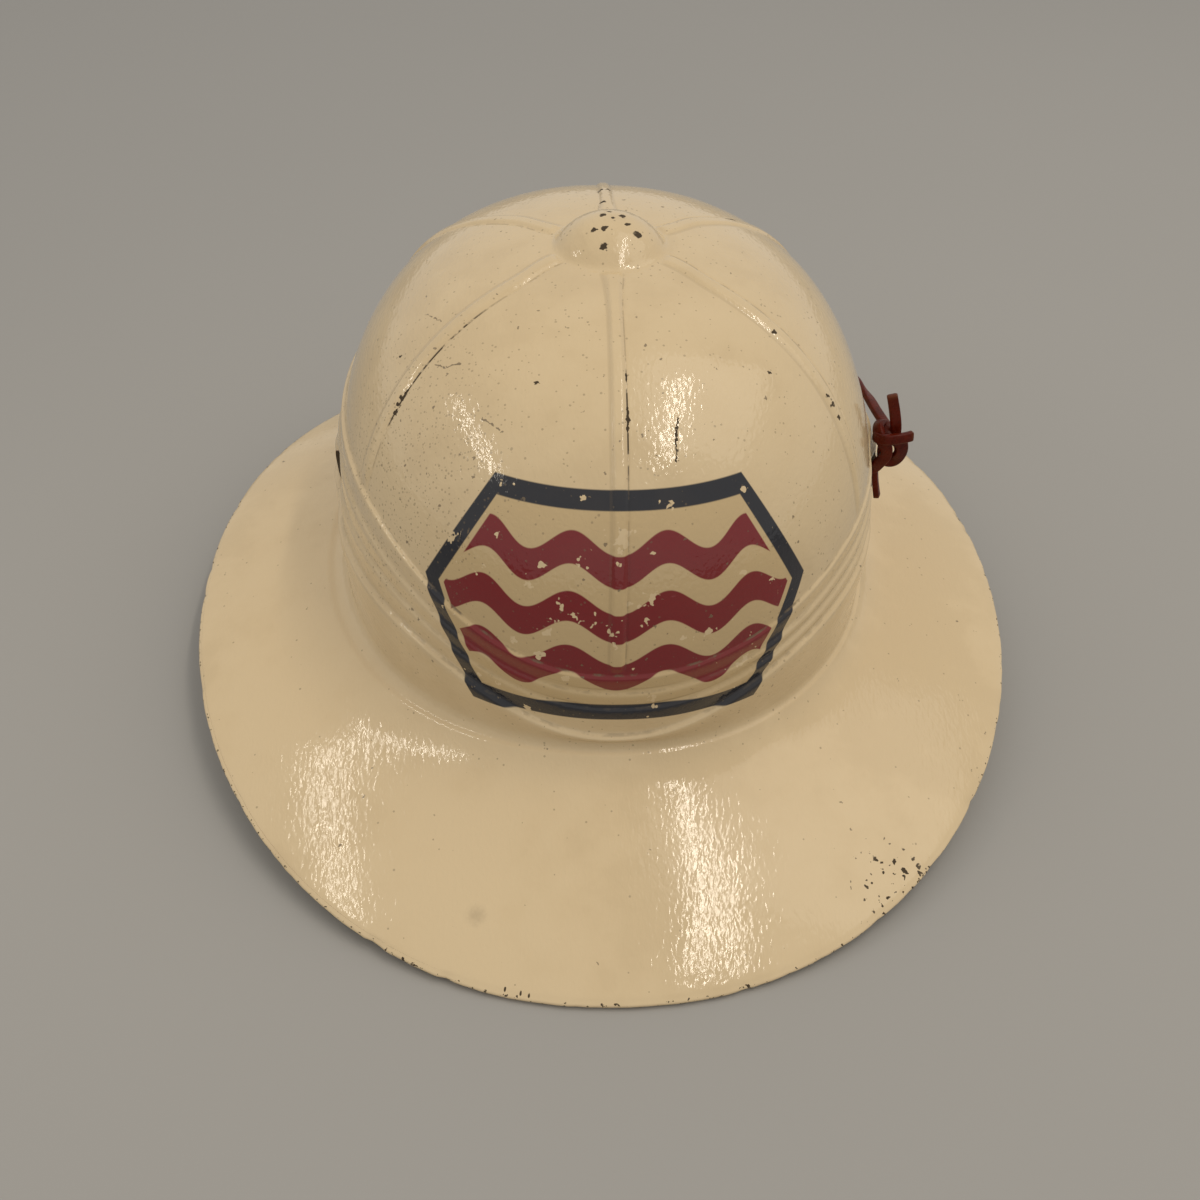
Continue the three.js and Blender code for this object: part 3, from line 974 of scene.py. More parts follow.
def smooth_route(route, spacing):
    """A smooth curve through a route's points, with points at even spacing.

    Each stretch is a cubic between two points whose tangents come from the square roots of the distances.
    """
    ends = np.concatenate([[2 * route[0] - route[1]], route, [2 * route[-1] - route[-2]]])
    before, start, stop, after = ends[:-3], ends[1:-2], ends[2:-1], ends[3:]
    stretches = (start - before, stop - start, after - stop)
    first, middle, last = (np.linalg.norm(stretch, axis=1, keepdims=True) ** 0.5 for stretch in stretches)
    leave = (start - before) / first - (stop - before) / (first + middle) + (stop - start) / middle
    arrive = (stop - start) / middle - (after - start) / (middle + last) + (after - stop) / last
    leave, arrive = leave * middle, arrive * middle
    steps = 64
    share = np.linspace(0, 1, steps, endpoint=False)[None, :, None]
    start, stop, leave, arrive = (part[:, None] for part in (start, stop, leave, arrive))
    curve = (
        (2 * share**3 - 3 * share**2 + 1) * start
        + (share**3 - 2 * share**2 + share) * leave
        + (3 * share**2 - 2 * share**3) * stop
        + (share**3 - share**2) * arrive
    )
    fine = np.concatenate([curve.reshape(-1, 3), route[-1:]])
    along = lengths_along(fine)
    at = np.linspace(0, along[-1], max(8, round(along[-1] / spacing)) + 1)
    return np.stack([np.interp(at, along, fine[:, axis]) for axis in range(3)], axis=1)


def doubled_ends(values):
    """An array with its first and last rows twice."""
    return np.concatenate([values[:1], values, values[-1:]])


def strip_arrays(path, face, width, thickness, raw_ends=(False, False)):
    """A flat strip along a path: a rounded rectangle carried along it, its broad side turned to the face.

    The section is a superellipse of high fullness. Both ends are drawn in a little and closed by a fan,
    and the ends that are raw cuts are marked.
    """
    sides = 20
    fullness = 5
    tangent = unit(np.gradient(path, axis=0))
    side = unit(np.cross(tangent, face))
    over = np.cross(side, tangent)
    turn = np.linspace(0, 2 * math.pi, sides, endpoint=False)
    across = np.sign(np.cos(turn)) * np.abs(np.cos(turn)) ** (2 / fullness)
    through = np.sign(np.sin(turn)) * np.abs(np.sin(turn)) ** (2 / fullness)
    wander = 1 + 0.05 * lattice_noise(path, 6 * MM, 8)
    end = 0.25 * MM
    path, tangent, side, over, wander = map(doubled_ends, (path, tangent, side, over, wander))
    path[1] += tangent[1] * end
    path[-2] -= tangent[-2] * end
    drawn = np.ones(len(path))
    drawn[[0, -1]] = 0.86
    half_width = (0.5 * width * wander * drawn)[:, None, None]
    half_thickness = (0.5 * thickness * drawn)[:, None, None]
    points = path[:, None] + half_width * across[:, None] * side[:, None]
    points = points + half_thickness * through[:, None] * over[:, None]
    quads, caps = closed_faces(len(path), sides)
    from_ends = [np.linalg.norm(path - end_point, axis=1) for end_point in path[[0, -1]]]
    raw = sum(is_raw * (1 - smooth(0.2 * MM, 1.4 * MM, gap)) for is_raw, gap in zip(raw_ends, from_ends))
    raw = np.concatenate([np.repeat(raw, sides), np.array(raw_ends, float)])
    return np.concatenate([points.reshape(-1, 3), path[[0, -1]]]), quads, caps, raw


def joined_piece(name, strips, material):
    """One mesh from several strips, with a mark for their raw ends."""
    points, quads, caps, raw = [], [], [], []
    first = 0
    for strip in strips:
        points.append(strip[0])
        quads.append(strip[1] + first)
        caps.append(strip[2] + first)
        raw.append(strip[3])
        first += len(strip[0])
    points, quads, caps = map(np.concatenate, (points, quads, caps))
    piece = mesh_object(name, points, quads, caps, [material])
    set_attribute(piece.data, "raw", np.concatenate(raw))
    return piece


def strap_face(path):
    """The way that the strap's broad side looks: out from the wall, but up on the brim and at the knot."""
    wall = np.stack([
        path[:, 0] / Crown.half_width**2,
        (path[:, 1] - Crown.centre_y) / Crown.half_length**2,
        0 * path[:, 0],
    ], axis=1)
    lying = 1 - smooth(30 * MM, 58 * MM, path[:, 2])[:, None]
    from_knot = np.linalg.norm(path - STRAP_ROUTE[0], axis=1)
    lying = np.maximum(lying, 0.85 * (1 - smooth(8 * MM, 34 * MM, from_knot))[:, None])
    return unit(mixed(unit(wall), np.array([0.0, 0.0, 1.0]), lying))


def route_faces(route, faces, path):
    """The ways given at a route's points, blended along the path by length."""
    at_points = lengths_along(route)
    along = np.linspace(0, at_points[-1], len(path))
    faces = unit(np.array(faces, float))
    return unit(np.stack([np.interp(along, at_points, faces[:, axis]) for axis in range(3)], axis=1))


def stop_arrays(place, way, shape):
    """An overhand stop knot: a trefoil loop of lace squeezed to the stop's size, on the lace's way in."""
    turn = np.linspace(0, 2 * math.pi, 120)
    tube = 0.36
    flat = np.stack([
        np.sin(turn) + 2 * np.sin(2 * turn),
        np.cos(turn) - 2 * np.cos(2 * turn),
        -np.sin(3 * turn) * 1.25,
    ], axis=1) / 3
    side = unit(np.cross(way, (0, 0, 1)))
    over = np.cross(side, way)
    reach = STOP_RADIUS * (1 - tube)
    depth = STOP_HALF_LENGTH * (1 - tube) * 1.6
    centre = place + way * (STOP_HALF_LENGTH + STOP_GAP)
    path = centre + reach * (flat[:, :1] * side + flat[:, 1:2] * over) + depth * flat[:, 2:] * way
    swell = 1.1
    face = np.broadcast_to(way, path.shape)
    return strip_arrays(path, face, swell * shape.lace_width, swell * shape.lace_thickness)


# Materials


class Nodes:
    """Short ways to add nodes to one tree and to feed their sockets with values or with other sockets."""

    def __init__(self, tree):
        self.tree = tree

    def feed(self, socket, value):
        if isinstance(value, bpy.types.NodeSocket):
            self.tree.links.new(value, socket)
        else:
            socket.default_value = value

    def add(self, kind, inputs=None, **settings):
        node = self.tree.nodes.new(kind)
        for name, value in settings.items():
            setattr(node, name, value)
        for name, value in (inputs or {}).items():
            self.feed(node.inputs[name], value)
        return node

    def math(self, operation, first, second=0.0, third=0.0):
        node = self.add("ShaderNodeMath", operation=operation)
        for socket, value in zip(node.inputs, (first, second, third)):
            self.feed(socket, value)
        return node.outputs[0]

    def chained(self, operation, values):
        total = values[0]
        for value in values[1:]:
            total = self.math(operation, total, value)
        return total

    def product(self, *values):
        return self.chained("MULTIPLY", values)

    def most(self, *values):
        return self.chained("MAXIMUM", values)

    def vector(self, operation, *values):
        node = self.add("ShaderNodeVectorMath", operation=operation)
        for socket, value in zip(node.inputs, values):
            self.feed(socket, value)
        return node.outputs

    def rise(self, value, low, high, start=0.0, stop=1.0):
        """From start at low to stop at high, with an S-shaped way between."""
        names = ("Value", "From Min", "From Max", "To Min", "To Max")
        node = self.add("ShaderNodeMapRange", dict(zip(names, (value, low, high, start, stop))))
        node.interpolation_type = "SMOOTHSTEP"
        return node.outputs[0]

    def mix(self, share, first, second):
        node = self.add("ShaderNodeMix", data_type="RGBA")
        for index, value in ((0, share), (6, first), (7, second)):
            self.feed(node.inputs[index], (*value, 1) if isinstance(value, tuple) else value)
        return node.outputs[2]

    def place(self):
        return self.add("ShaderNodeTexCoord").outputs["Object"]

    def read(self, name):
        return self.add("ShaderNodeAttribute", attribute_name=name).outputs["Fac"]

    def noise(self, place, scale, detail=2.0, roughness=0.5, distortion=0.0):
        names = ("Vector", "Scale", "Detail", "Roughness", "Distortion")
        inputs = dict(zip(names, (place, scale, detail, roughness, distortion)))
        return self.add("ShaderNodeTexNoise", inputs).outputs["Fac"]

    def ragged(self, place, scale, reach):
        """Coordinates that wander by up to a reach, so that outlines read on them turn ragged."""
        wander = self.add("ShaderNodeTexNoise", {"Vector": place, "Scale": scale, "Detail": 1.0})
        shift = self.vector("SUBTRACT", wander.outputs["Color"], (0.5, 0.5, 0.5))["Vector"]
        return self.vector("MULTIPLY_ADD", shift, (2 * reach,) * 3, place)["Vector"]

    def spots(self, place, spots):
        """Separate spots, each a place and a radius in millimetres."""
        return self.most(*(self.near(place, spot[:3], 0.75 * spot[3], spot[3]) for spot in spots))

    def line(self, place, start, stop, half_width):
        """1 within a half width of the straight way between two points, all in millimetres."""
        along = MM * (np.array(stop) - start)
        start = MM * np.array(start)
        offset = self.vector("SUBTRACT", place, start)["Vector"]
        share = self.vector("DOT_PRODUCT", offset, along / (along @ along))["Value"]
        share = self.add("ShaderNodeClamp", {"Value": share}).outputs[0]
        foot = self.add("ShaderNodeVectorMath", {"Scale": share}, operation="SCALE")
        self.feed(foot.inputs[0], along)
        gap = self.vector("DISTANCE", offset, foot.outputs[0])["Value"]
        return self.rise(gap, 0.7 * half_width * MM, half_width * MM, 1.0, 0.0)

    def lines(self, place, lines):
        """Several straight marks, each two points and a half width in millimetres."""
        return self.most(*(self.line(place, *line) for line in lines))

    def near(self, place, centre, inner, outer):
        """1 within the inner distance of a point and 0 beyond the outer one, all in millimetres."""
        gap = self.vector("DISTANCE", place, tuple(x * MM for x in centre))["Value"]
        return self.rise(gap, inner * MM, outer * MM, 1.0, 0.0)

    def group(self, group, inputs):
        return self.add("ShaderNodeGroup", inputs, node_tree=group).outputs[0]

    def specks(self, place, scale, amount, size):
        """Scattered specks: their cells' scale, the share of cells that hold one, and their size."""
        inputs = {"Place": place, "Scale": scale, "Amount": amount, "Size": size}
        return self.group(bpy.data.node_groups["worn_specks"], inputs)

    def mottle(self, place, scale):
        """A slow uneven tone."""
        return self.group(bpy.data.node_groups["slow_mottle"], {"Place": place, "Scale": scale})

    def surface(self, shader, colour, roughness, height, strength):
        """Gives the shader its colour, its roughness and a bump whose height is in millimetres."""
        bump = self.add("ShaderNodeBump", {"Strength": strength, "Distance": MM, "Height": height})
        self.feed(shader["Base Color"], colour)
        self.feed(shader["Roughness"], roughness)
        self.feed(shader["Normal"], bump.outputs[0])


def new_group(name, inputs, output):
    """Makes an empty node group, and gives the short ways to fill it and its named sockets."""
    group = bpy.data.node_groups.new(name, "ShaderNodeTree")
    for socket, kind, default in inputs:
        made = group.interface.new_socket(socket, in_out="INPUT", socket_type=kind)
        if default is not None:
            made.default_value = default
    group.interface.new_socket(output, in_out="OUTPUT", socket_type="NodeSocketFloat")
    nodes = Nodes(group)
    return nodes, nodes.add("NodeGroupInput").outputs, nodes.add("NodeGroupOutput").inputs


def speck_group():
    """Scattered specks of uneven size: cells whose middle lies within a random radius."""
    sockets = (
        ("Place", "NodeSocketVector", None),
        ("Scale", "NodeSocketFloat", 300.0),
        ("Amount", "NodeSocketFloat", 0.2),
        ("Size", "NodeSocketFloat", 0.35),
    )
    nodes, given, result = new_group("worn_specks", sockets, "Mask")
    cells = nodes.add("ShaderNodeTexVoronoi", {"Vector": given["Place"], "Scale": given["Scale"]})
    split = nodes.add("ShaderNodeSeparateColor", {"Color": cells.outputs["Color"]})
    chosen = nodes.math("LESS_THAN", split.outputs[0], given["Amount"])
    radius = nodes.math("MULTIPLY", nodes.rise(split.outputs[1], 0.0, 1.0, 0.25, 1.0), given["Size"])
    inner = nodes.math("MULTIPLY", radius, 0.7)
    inside = nodes.rise(cells.outputs["Distance"], inner, radius, 1.0, 0.0)
    nodes.feed(result["Mask"], nodes.math("MULTIPLY", inside, chosen))


def mottle_group():
    """Slow uneven tone: broad noise with finer noise over it, spread to the whole range."""
    sockets = (("Place", "NodeSocketVector", None), ("Scale", "NodeSocketFloat", 20.0))
    nodes, given, result = new_group("slow_mottle", sockets, "Value")
    broad = nodes.noise(given["Place"], given["Scale"], 3.0, 0.55)
    finer = nodes.noise(given["Place"], nodes.math("MULTIPLY", given["Scale"], 5.0), 3.0, 0.6)
    both = nodes.math("MULTIPLY_ADD", finer, 0.35, nodes.math("MULTIPLY", broad, 0.65))
    nodes.feed(result["Value"], nodes.rise(both, 0.36, 0.64))


def new_material(name):
    material = bpy.data.materials.new(name)
    material.use_nodes = True
    nodes = Nodes(material.node_tree)
    return material, nodes, material.node_tree.nodes["Principled BSDF"].inputs


def panel_paint(nodes, colours):
    """Mask and colour of a panel with pointed ends: a dark border round wavy bands on a pale ground."""
    side = nodes.math("ABSOLUTE", nodes.read("panel_side"))
    up = nodes.read("panel_up")
    tall = nodes.math("ABSOLUTE", up)
    pointed = nodes.math("SUBTRACT", nodes.math("MULTIPLY_ADD", tall, PANEL_SLANT, side), PANEL_HALF_WIDTH)
    border = nodes.most(nodes.math("SUBTRACT", tall, PANEL_HALF_HEIGHT), pointed)
    soft = 0.25 * MM
    field = nodes.rise(border, -soft, soft, 1.0, 0.0)
    edging = nodes.rise(border, -PANEL_BORDER - soft, -PANEL_BORDER + soft)
    within = nodes.rise(border, -PANEL_MARGIN - soft, -PANEL_MARGIN + soft, 1.0, 0.0)
    wave = nodes.math("COSINE", nodes.product(side, 2 * math.pi / WAVE_LENGTH))
    waved = nodes.math("MULTIPLY_ADD", wave, WAVE_HEIGHT, up)
    level = nodes.math("PINGPONG", waved, WAVE_PERIOD / 2)
    middle = nodes.math("LESS_THAN", nodes.math("ABSOLUTE", waved), BANDS_REACH)
    band = nodes.product(within, middle, nodes.rise(level, BAND_HALF - soft, BAND_HALF + soft, 1.0, 0.0))
    paint = nodes.mix(band, tuple(colours.panel_ground), tuple(colours.panel_band))
    return field, nodes.mix(edging, paint, tuple(colours.panel_border))


def enamel_marks(nodes):
    """What the layers of the enamel read: places, the mesh's own marks, noises and worn places."""
    names = ("rib_side", "rib_shown", "fold_gap", "fold_dirt", "edge_gap", "inside")
    marks = SimpleNamespace(**{name: nodes.read(name) for name in names})
    marks.place = nodes.place()
    marks.rough_place = nodes.ragged(marks.place, 900.0, 0.9 * MM)
    marks.tone = nodes.mottle(marks.place, 14.0)
    marks.breakup = nodes.noise(marks.place, 150.0, 3.0, 0.65)
    marks.ragged = nodes.noise(marks.place, 700.0, 2.0, 0.6)
    marks.on_crown = nodes.rise(marks.edge_gap, 0.05, 0.085)
    marks.brim_patch = nodes.near(marks.place, *BRIM_PATCH)
    marks.crack_gap = nodes.math("ABSOLUTE", nodes.math("SUBTRACT", marks.rib_side, Rib.foot_width / 2))
    narrow = nodes.rise(marks.crack_gap, 0.15 * MM, 0.48 * MM, 1.0, 0.0)
    marks.crack_line = nodes.product(marks.rib_shown, narrow)
    return marks


def paint_left(nodes, marks):
    """Where the panel's paint is left: rubbed through on the front rib and flaked here and there."""
    across = nodes.math("ABSOLUTE", marks.rib_side)
    on_rib = nodes.product(marks.rib_shown, nodes.rise(across, 1.0 * MM, 3.4 * MM, 1.0, 0.0))
    rub = nodes.math("MULTIPLY_ADD", nodes.near(marks.place, *PANEL_RUB), 0.07, marks.breakup)
    rub = nodes.math("MULTIPLY_ADD", on_rib, 0.07, rub)
    flaked = nodes.specks(marks.rough_place, 210.0, 0.06, 0.3)
    lost = nodes.most(nodes.rise(rub, 0.66, 0.68), nodes.rise(flaked, 0.3, 0.6))
    return nodes.math("SUBTRACT", 1.0, lost)


def grime_and_painted_shade(nodes, marks):
    """Grime in the crack at one foot of each rib and over each fold line, painted shade along each rib's
    other foot, and a film: faint dirt all over and painted shade over the crown.
    """
    crack = nodes.product(marks.crack_line, nodes.rise(marks.breakup, 0.46, 0.56))
    # Painted shade: a soft dark line along each rib's other foot, where its flank is in shade.
    soft_gap = nodes.math("ABSOLUTE", nodes.math("ADD", marks.rib_side, Rib.foot_width / 2))
    painted_rib_shade = nodes.product(marks.rib_shown, nodes.rise(soft_gap, 0.2 * MM, 1.2 * MM, 0.2, 0.0))
    over_fold = nodes.math("ABSOLUTE", nodes.math("SUBTRACT", marks.fold_gap, 1.1 * MM))
    narrow = nodes.rise(over_fold, 0.15 * MM, 0.6 * MM, 1.0, 0.0)
    fold_line = nodes.product(marks.fold_dirt, narrow, nodes.rise(marks.breakup, 0.42, 0.62))
    aged = nodes.rise(marks.tone, 0.5, 1.0, 0.0, 0.04)
    # Painted shade: a grey veil darkens the whole crown against the brim, laid over faint random dirt.
    crown_shade_and_dirt_film = nodes.math("MULTIPLY_ADD", marks.on_crown, 0.06, aged)
    return nodes.most(nodes.product(crack, 0.35), painted_rib_shade, nodes.product(fold_line, 0.8), crown_shade_and_dirt_film)


def speck_grime(nodes, marks):
    """Specks, thickest left of the front, with scratches and a smudge. Also the coarse specks alone."""
    speckled = nodes.near(marks.place, *SPECKLED_SIDE)
    sparse = nodes.rise(marks.on_crown, 0.0, 1.0, 0.01, 0.07)
    fine = nodes.specks(marks.place, 1100.0, nodes.math("MULTIPLY_ADD", speckled, 0.5, sparse), 0.48)
    amount = nodes.math("MULTIPLY_ADD", speckled, 0.12, sparse)
    amount = nodes.most(amount, nodes.product(marks.brim_patch, 0.75))
    size = nodes.rise(marks.brim_patch, 0.0, 1.0, 0.27, 0.5)
    coarse = nodes.specks(marks.rough_place, 520.0, amount, size)
    scratch = nodes.product(nodes.lines(marks.rough_place, SCRATCHES), 0.85)
    smudge = nodes.product(nodes.near(marks.rough_place, *BRIM_SMUDGE), 0.25)
    grime = nodes.most(nodes.product(fine, 0.45), nodes.product(coarse, 0.8), scratch, smudge)
    return grime, coarse


def enamel_chips(nodes, marks, coarse):
    """Chips down to the dark fibre: along two ribs, on the edge and the button, in a patch on the brim."""
    worn_ribs = nodes.most(*(nodes.near(marks.place, *rib) for rib in WORN_RIBS))
    beads = nodes.product(marks.crack_line, nodes.rise(marks.breakup, 0.42, 0.5), worn_ribs)
    swollen = nodes.most(*(nodes.product(nodes.near(marks.place, *spot), width) for *spot, width in GASHES))
    gash_width = nodes.math("MULTIPLY_ADD", marks.ragged, 2.2 * MM, -0.7 * MM)
    gash = nodes.math("LESS_THAN", marks.crack_gap, nodes.product(swollen, gash_width))
    edge_width = nodes.math("MULTIPLY_ADD", marks.ragged, 6.0 * MM, -3.8 * MM)
    edge_chip = nodes.math("LESS_THAN", marks.edge_gap, edge_width)
    brim_chip = nodes.product(nodes.rise(coarse, 0.3, 0.6), marks.brim_patch)
    spots = nodes.spots(marks.rough_place, (*BUTTON_CHIPS, *CROWN_CHIPS))
    cracks = nodes.lines(marks.rough_place, CRACKS)
    slits = nodes.lines(marks.place, EDGE_SLITS)
    chip = nodes.most(beads, gash, edge_chip, brim_chip, spots, cracks, slits)
    return nodes.product(chip, nodes.math("SUBTRACT", 1.0, marks.inside))


def enamel_material(colours):
    """Old cream enamel: yellowing, a worn painted panel, grime with painted shade, chips, and ripples from
    its drying.
    """
    material, nodes, shader = new_material("worn_enamel")
    marks = enamel_marks(nodes)
    yellowed = nodes.rise(marks.tone, 0.0, 1.0, 0.1, 0.4)
    colour = nodes.mix(yellowed, tuple(colours.enamel), tuple(colours.aged))
    field, paint = panel_paint(nodes, colours)
    colour = nodes.mix(nodes.product(field, paint_left(nodes, marks)), colour, paint)
    specks, coarse = speck_grime(nodes, marks)
    grime = nodes.most(grime_and_painted_shade(nodes, marks), specks)
    # The grime colour lays down real dirt and also painted shade, along the ribs' feet and over the crown.
    colour = nodes.mix(grime, colour, tuple(colours.grime))
    chip = enamel_chips(nodes, marks, coarse)
    colour = nodes.mix(chip, colour, tuple(colours.chip))
    gloss = nodes.rise(marks.breakup, 0.3, 0.7, 0.07, 0.12)
    dull = ((chip, 0.8), (grime, 0.55), (marks.inside, 0.5))
    roughness = nodes.most(gloss, *(nodes.product(mask, share) for mask, share in dull))
    # The ripples run fore and aft.
    drawn = nodes.vector("MULTIPLY", marks.place, (1.0, 0.4, 0.8))["Vector"]
    ripples = nodes.noise(drawn, 800.0, 1.0, 0.45, 0.4)
    height = nodes.product(ripples, nodes.rise(marks.on_crown, 0.0, 1.0, 0.075, 0.12))
    nodes.surface(shader, colour, roughness, height, 1.0)
    shader["IOR"].default_value = 1.5
    return material


def fibre_material(colours):
    """Bare pressed fibre inside the crown: matt felted brown with dark flecks, and painted shade round the
    lace holes.
    """
    material, nodes, shader = new_material("bare_fibre")
    place = nodes.place()
    base = tuple(colours.fibre)
    darker = tuple(0.62 * part for part in base)
    colour = nodes.mix(nodes.rise(nodes.mottle(place, 30.0), 0.0, 1.0, 0.0, 0.8), base, darker)
    fleck = nodes.specks(place, 420.0, 0.3, 0.4)
    colour = nodes.mix(nodes.product(fleck, 0.5), colour, tuple(colours.grime))
    # Painted shade: the chip colour darkens the bare fibre round each lace hole so the holes read dark.
    hole_shade = nodes.most(*(nodes.near(place, tuple(hole_centre(angle) / MM), 6, 9) for angle in HOLE_ANGLES))
    colour = nodes.mix(nodes.product(hole_shade, 0.9), colour, tuple(colours.chip))
    felt = nodes.noise(place, 700.0, 4.0, 0.65)
    nodes.surface(shader, colour, nodes.rise(felt, 0.3, 0.7, 0.7, 0.92), nodes.product(felt, 0.25), 0.8)
    return material


def leather_material(colours):
    """Waxed red-brown leather: fine grain, darker and lighter patches, raw cut ends."""
    material, nodes, shader = new_material("waxed_leather")
    place = nodes.place()
    base = tuple(colours.leather)
    darker = tuple(0.55 * part for part in base)
    colour = nodes.mix(nodes.mottle(place, 140.0), base, darker)
    worn = nodes.rise(nodes.noise(place, 330.0, 3.0, 0.6), 0.56, 0.72, 0.0, 0.15)
    colour = nodes.mix(worn, colour, tuple(colours.leather_raw))
    colour = nodes.mix(nodes.product(nodes.read("raw"), 0.7), colour, tuple(colours.leather_raw))
    pits = nodes.specks(place, 1500.0, 0.5, 0.4)
    grain = nodes.noise(place, 1300.0, 3.0, 0.6)
    height = nodes.math("MULTIPLY_ADD", pits, -0.05, nodes.product(grain, 0.09))
    nodes.surface(shader, colour, nodes.rise(grain, 0.3, 0.7, 0.24, 0.4), height, 0.9)
    shader["Specular IOR Level"].default_value = 0.18
    return material


def finishes():
    """The helmet's materials, made once and shared by its pieces."""
    if "worn_enamel" not in bpy.data.materials:
        colours = bpy.context.scene.helmet_colours
        speck_group()
        mottle_group()
        enamel_material(colours)
        fibre_material(colours)
        leather_material(colours)
    return bpy.data.materials


# The stage


def area_light(name, place, size, power):
    """A flat lamp at a place, looking at the helmet's middle, with its second side fore and aft."""
    data = bpy.data.lights.new(name, "AREA")
    data.shape = "RECTANGLE"
    data.size, data.size_y = size
    data.energy = power
    data.color = LAMP_COLOUR
    lamp = bpy.data.objects.new(name, data)
    back = (Vector(place) - LAMP_AIM).normalized()
    side = Vector((0, 1, 0)).cross(back).normalized()
    turn = Matrix((side, back.cross(side), back)).transposed()
    lamp.matrix_world = Matrix.Translation(Vector(place)) @ turn.to_4x4()
    bpy.context.scene.collection.objects.link(lamp)


def photo_camera():
    """The camera in front of the helmet: turned by yaw, elevation and a small roll."""
    data = bpy.data.cameras.new("camera")
    data.lens = CAMERA_LENS
    data.sensor_width = CAMERA_SENSOR
    data.clip_start = 0.01
    camera = bpy.data.objects.new("camera", data)
    sine, cosine = math.sin(CAMERA_ELEVATION), math.cos(CAMERA_ELEVATION)
    right, up, back = Vector((1, 0, 0)), Vector((0, sine, cosine)), Vector((0, -cosine, sine))
    tilted_right = right * math.cos(CAMERA_ROLL) - up * math.sin(CAMERA_ROLL)
    tilted_up = right * math.sin(CAMERA_ROLL) + up * math.cos(CAMERA_ROLL)
    axes = Matrix((tilted_right, tilted_up, back)).transposed()
    turn = Matrix.Rotation(-CAMERA_YAW, 3, "Z")
    camera.matrix_world = Matrix.Translation(CAMERA_PLACE) @ (turn @ axes).to_4x4()
    bpy.context.scene.collection.objects.link(camera)
    bpy.context.scene.camera = camera


def floor_material(colour):
    material, nodes, shader = new_material("plain_floor")
    place = nodes.place()
    soft = nodes.rise(nodes.noise(place, 3.0, 2.0), 0.3, 0.7, 0.0, 0.12)
    nodes.feed(shader["Base Color"], nodes.mix(soft, tuple(colour), tuple(0.9 * part for part in colour)))
    shader["Roughness"].default_value = 0.85
    return material


class HELMET_OT_stage(bpy.types.Operator):
    """Set up the camera, the soft lamps and the plain floor"""

    bl_idname = "helmet.stage"
    bl_label = "Set the Stage"

    def execute(self, context):
        photo_camera()
        corners = FLOOR_HALF * np.array([(-1, -1, 0), (1, -1, 0), (1, 1, 0), (-1, 1, 0)])
        material = floor_material(context.scene.helmet_colours.floor)
        floor = mesh_object("floor", corners, np.array([[0, 1, 2, 3]]), np.zeros((0, 3), int), [material])
        for name, lamp in LAMPS.items():
            area_light(name, *lamp)
        world = bpy.data.worlds.new("soft_room")
        world.use_nodes = True
        background = world.node_tree.nodes["Background"].inputs
        background["Color"].default_value = ROOM_COLOUR
        background["Strength"].default_value = ROOM_STRENGTH
        context.scene.world = world
        context.scene.view_settings.view_transform = "Standard"
        return {"FINISHED"}


class HELMET_OT_knot(bpy.types.Operator):
    """Tie the lace's knot beside its side hole"""

    bl_idname = "helmet.knot"
    bl_label = "Tie the Knot"

    def execute(self, context):
        shape = context.scene.helmet_shape
        strips = []
        for strip in KNOT_STRIPS.values():
            route = MM * np.array(strip.route)
            path = smooth_route(route, 0.5 * MM)
            face = route_faces(route, strip.faces, path)
            width = strip.widening * shape.lace_width
            strips.append(strip_arrays(path, face, width, shape.lace_thickness, strip.raw_ends))
        piece = joined_piece("lace_knot_tied", strips, finishes()["waxed_leather"])
        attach(piece, BODY)
        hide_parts("lace_knot")
        return {"FINISHED"}


class HELMET_OT_stops(bpy.types.Operator):
    """Tie the stop knots that hold the lace inside the crown"""

    bl_idname = "helmet.stops"
    bl_label = "Tie the Stop Knots"

    def execute(self, context):
        for node, (place, way) in STOPS.items():
            strip = stop_arrays(place, unit(way), context.scene.helmet_shape)
            piece = joined_piece(node + "_tied", [strip], finishes()["waxed_leather"])
            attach(piece, BODY)
            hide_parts(node)
        return {"FINISHED"}


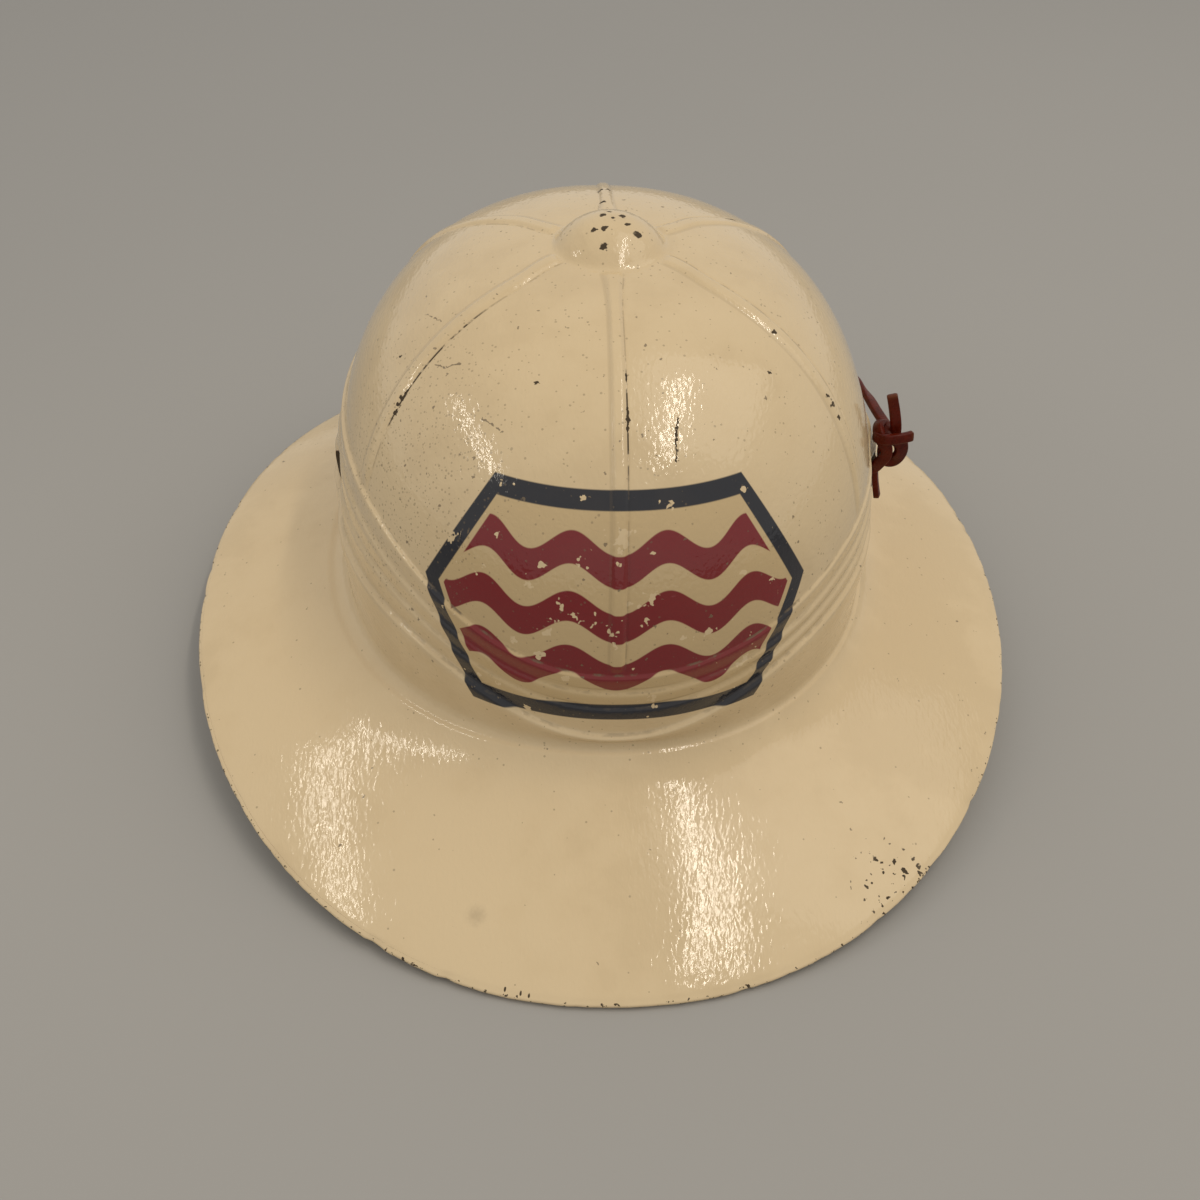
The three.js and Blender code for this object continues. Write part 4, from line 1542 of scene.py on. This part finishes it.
class HELMET_OT_strap(bpy.types.Operator):
    """Lay the lace's strap from its rear hole over the brim to the knot"""

    bl_idname = "helmet.strap"
    bl_label = "Lay the Strap"

    def execute(self, context):
        shape = context.scene.helmet_shape
        path = smooth_route(STRAP_ROUTE[::-1], 1 * MM)
        strip = strip_arrays(path, strap_face(path), shape.lace_width, shape.lace_thickness)
        piece = joined_piece("lace_strap_laid", [strip], finishes()["waxed_leather"])
        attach(piece, BODY)
        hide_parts("lace_strap")
        return {"FINISHED"}


class HELMET_OT_shell(bpy.types.Operator):
    """Press the shell with its ribs, folds, button and brim, and punch the lace's holes"""

    bl_idname = "helmet.shell"
    bl_label = "Press the Shell"

    def execute(self, context):
        materials = finishes()
        piece = shell_piece(context.scene.helmet_shape, materials["worn_enamel"], materials["bare_fibre"])
        cut_holes(piece, materials["bare_fibre"])
        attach(piece, BODY)
        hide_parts("shell")
        return {"FINISHED"}


class HELMET_PT_panel(bpy.types.Panel):
    """The helmet's settings and the steps that make it"""

    bl_idname = "HELMET_PT_panel"
    bl_label = "Sun Helmet"
    bl_space_type = "VIEW_3D"
    bl_region_type = "UI"
    bl_category = "Helmet"

    def draw(self, context):
        for group in (context.scene.helmet_shape, context.scene.helmet_colours):
            for name in group.__annotations__:
                self.layout.prop(group, name)
        for operator in OPERATORS:
            self.layout.operator(operator.bl_idname)


SETTINGS = (HelmetShape, HelmetColours)
OPERATORS = (HELMET_OT_stage, HELMET_OT_knot, HELMET_OT_stops, HELMET_OT_strap, HELMET_OT_shell)


def register():
    for made in (*SETTINGS, *OPERATORS, HELMET_PT_panel):
        bpy.utils.register_class(made)
    bpy.types.Scene.helmet_shape = bpy.props.PointerProperty(type=HelmetShape)
    bpy.types.Scene.helmet_colours = bpy.props.PointerProperty(type=HelmetColours)


def unregister():
    del bpy.types.Scene.helmet_colours
    del bpy.types.Scene.helmet_shape
    for made in reversed((*SETTINGS, *OPERATORS, HELMET_PT_panel)):
        bpy.utils.unregister_class(made)


def main():
    register()
    bpy.ops.helmet.stage()
    bpy.ops.helmet.knot()
    bpy.ops.helmet.stops()
    bpy.ops.helmet.strap()
    bpy.ops.helmet.shell()


if __name__ == "__main__":
    main()
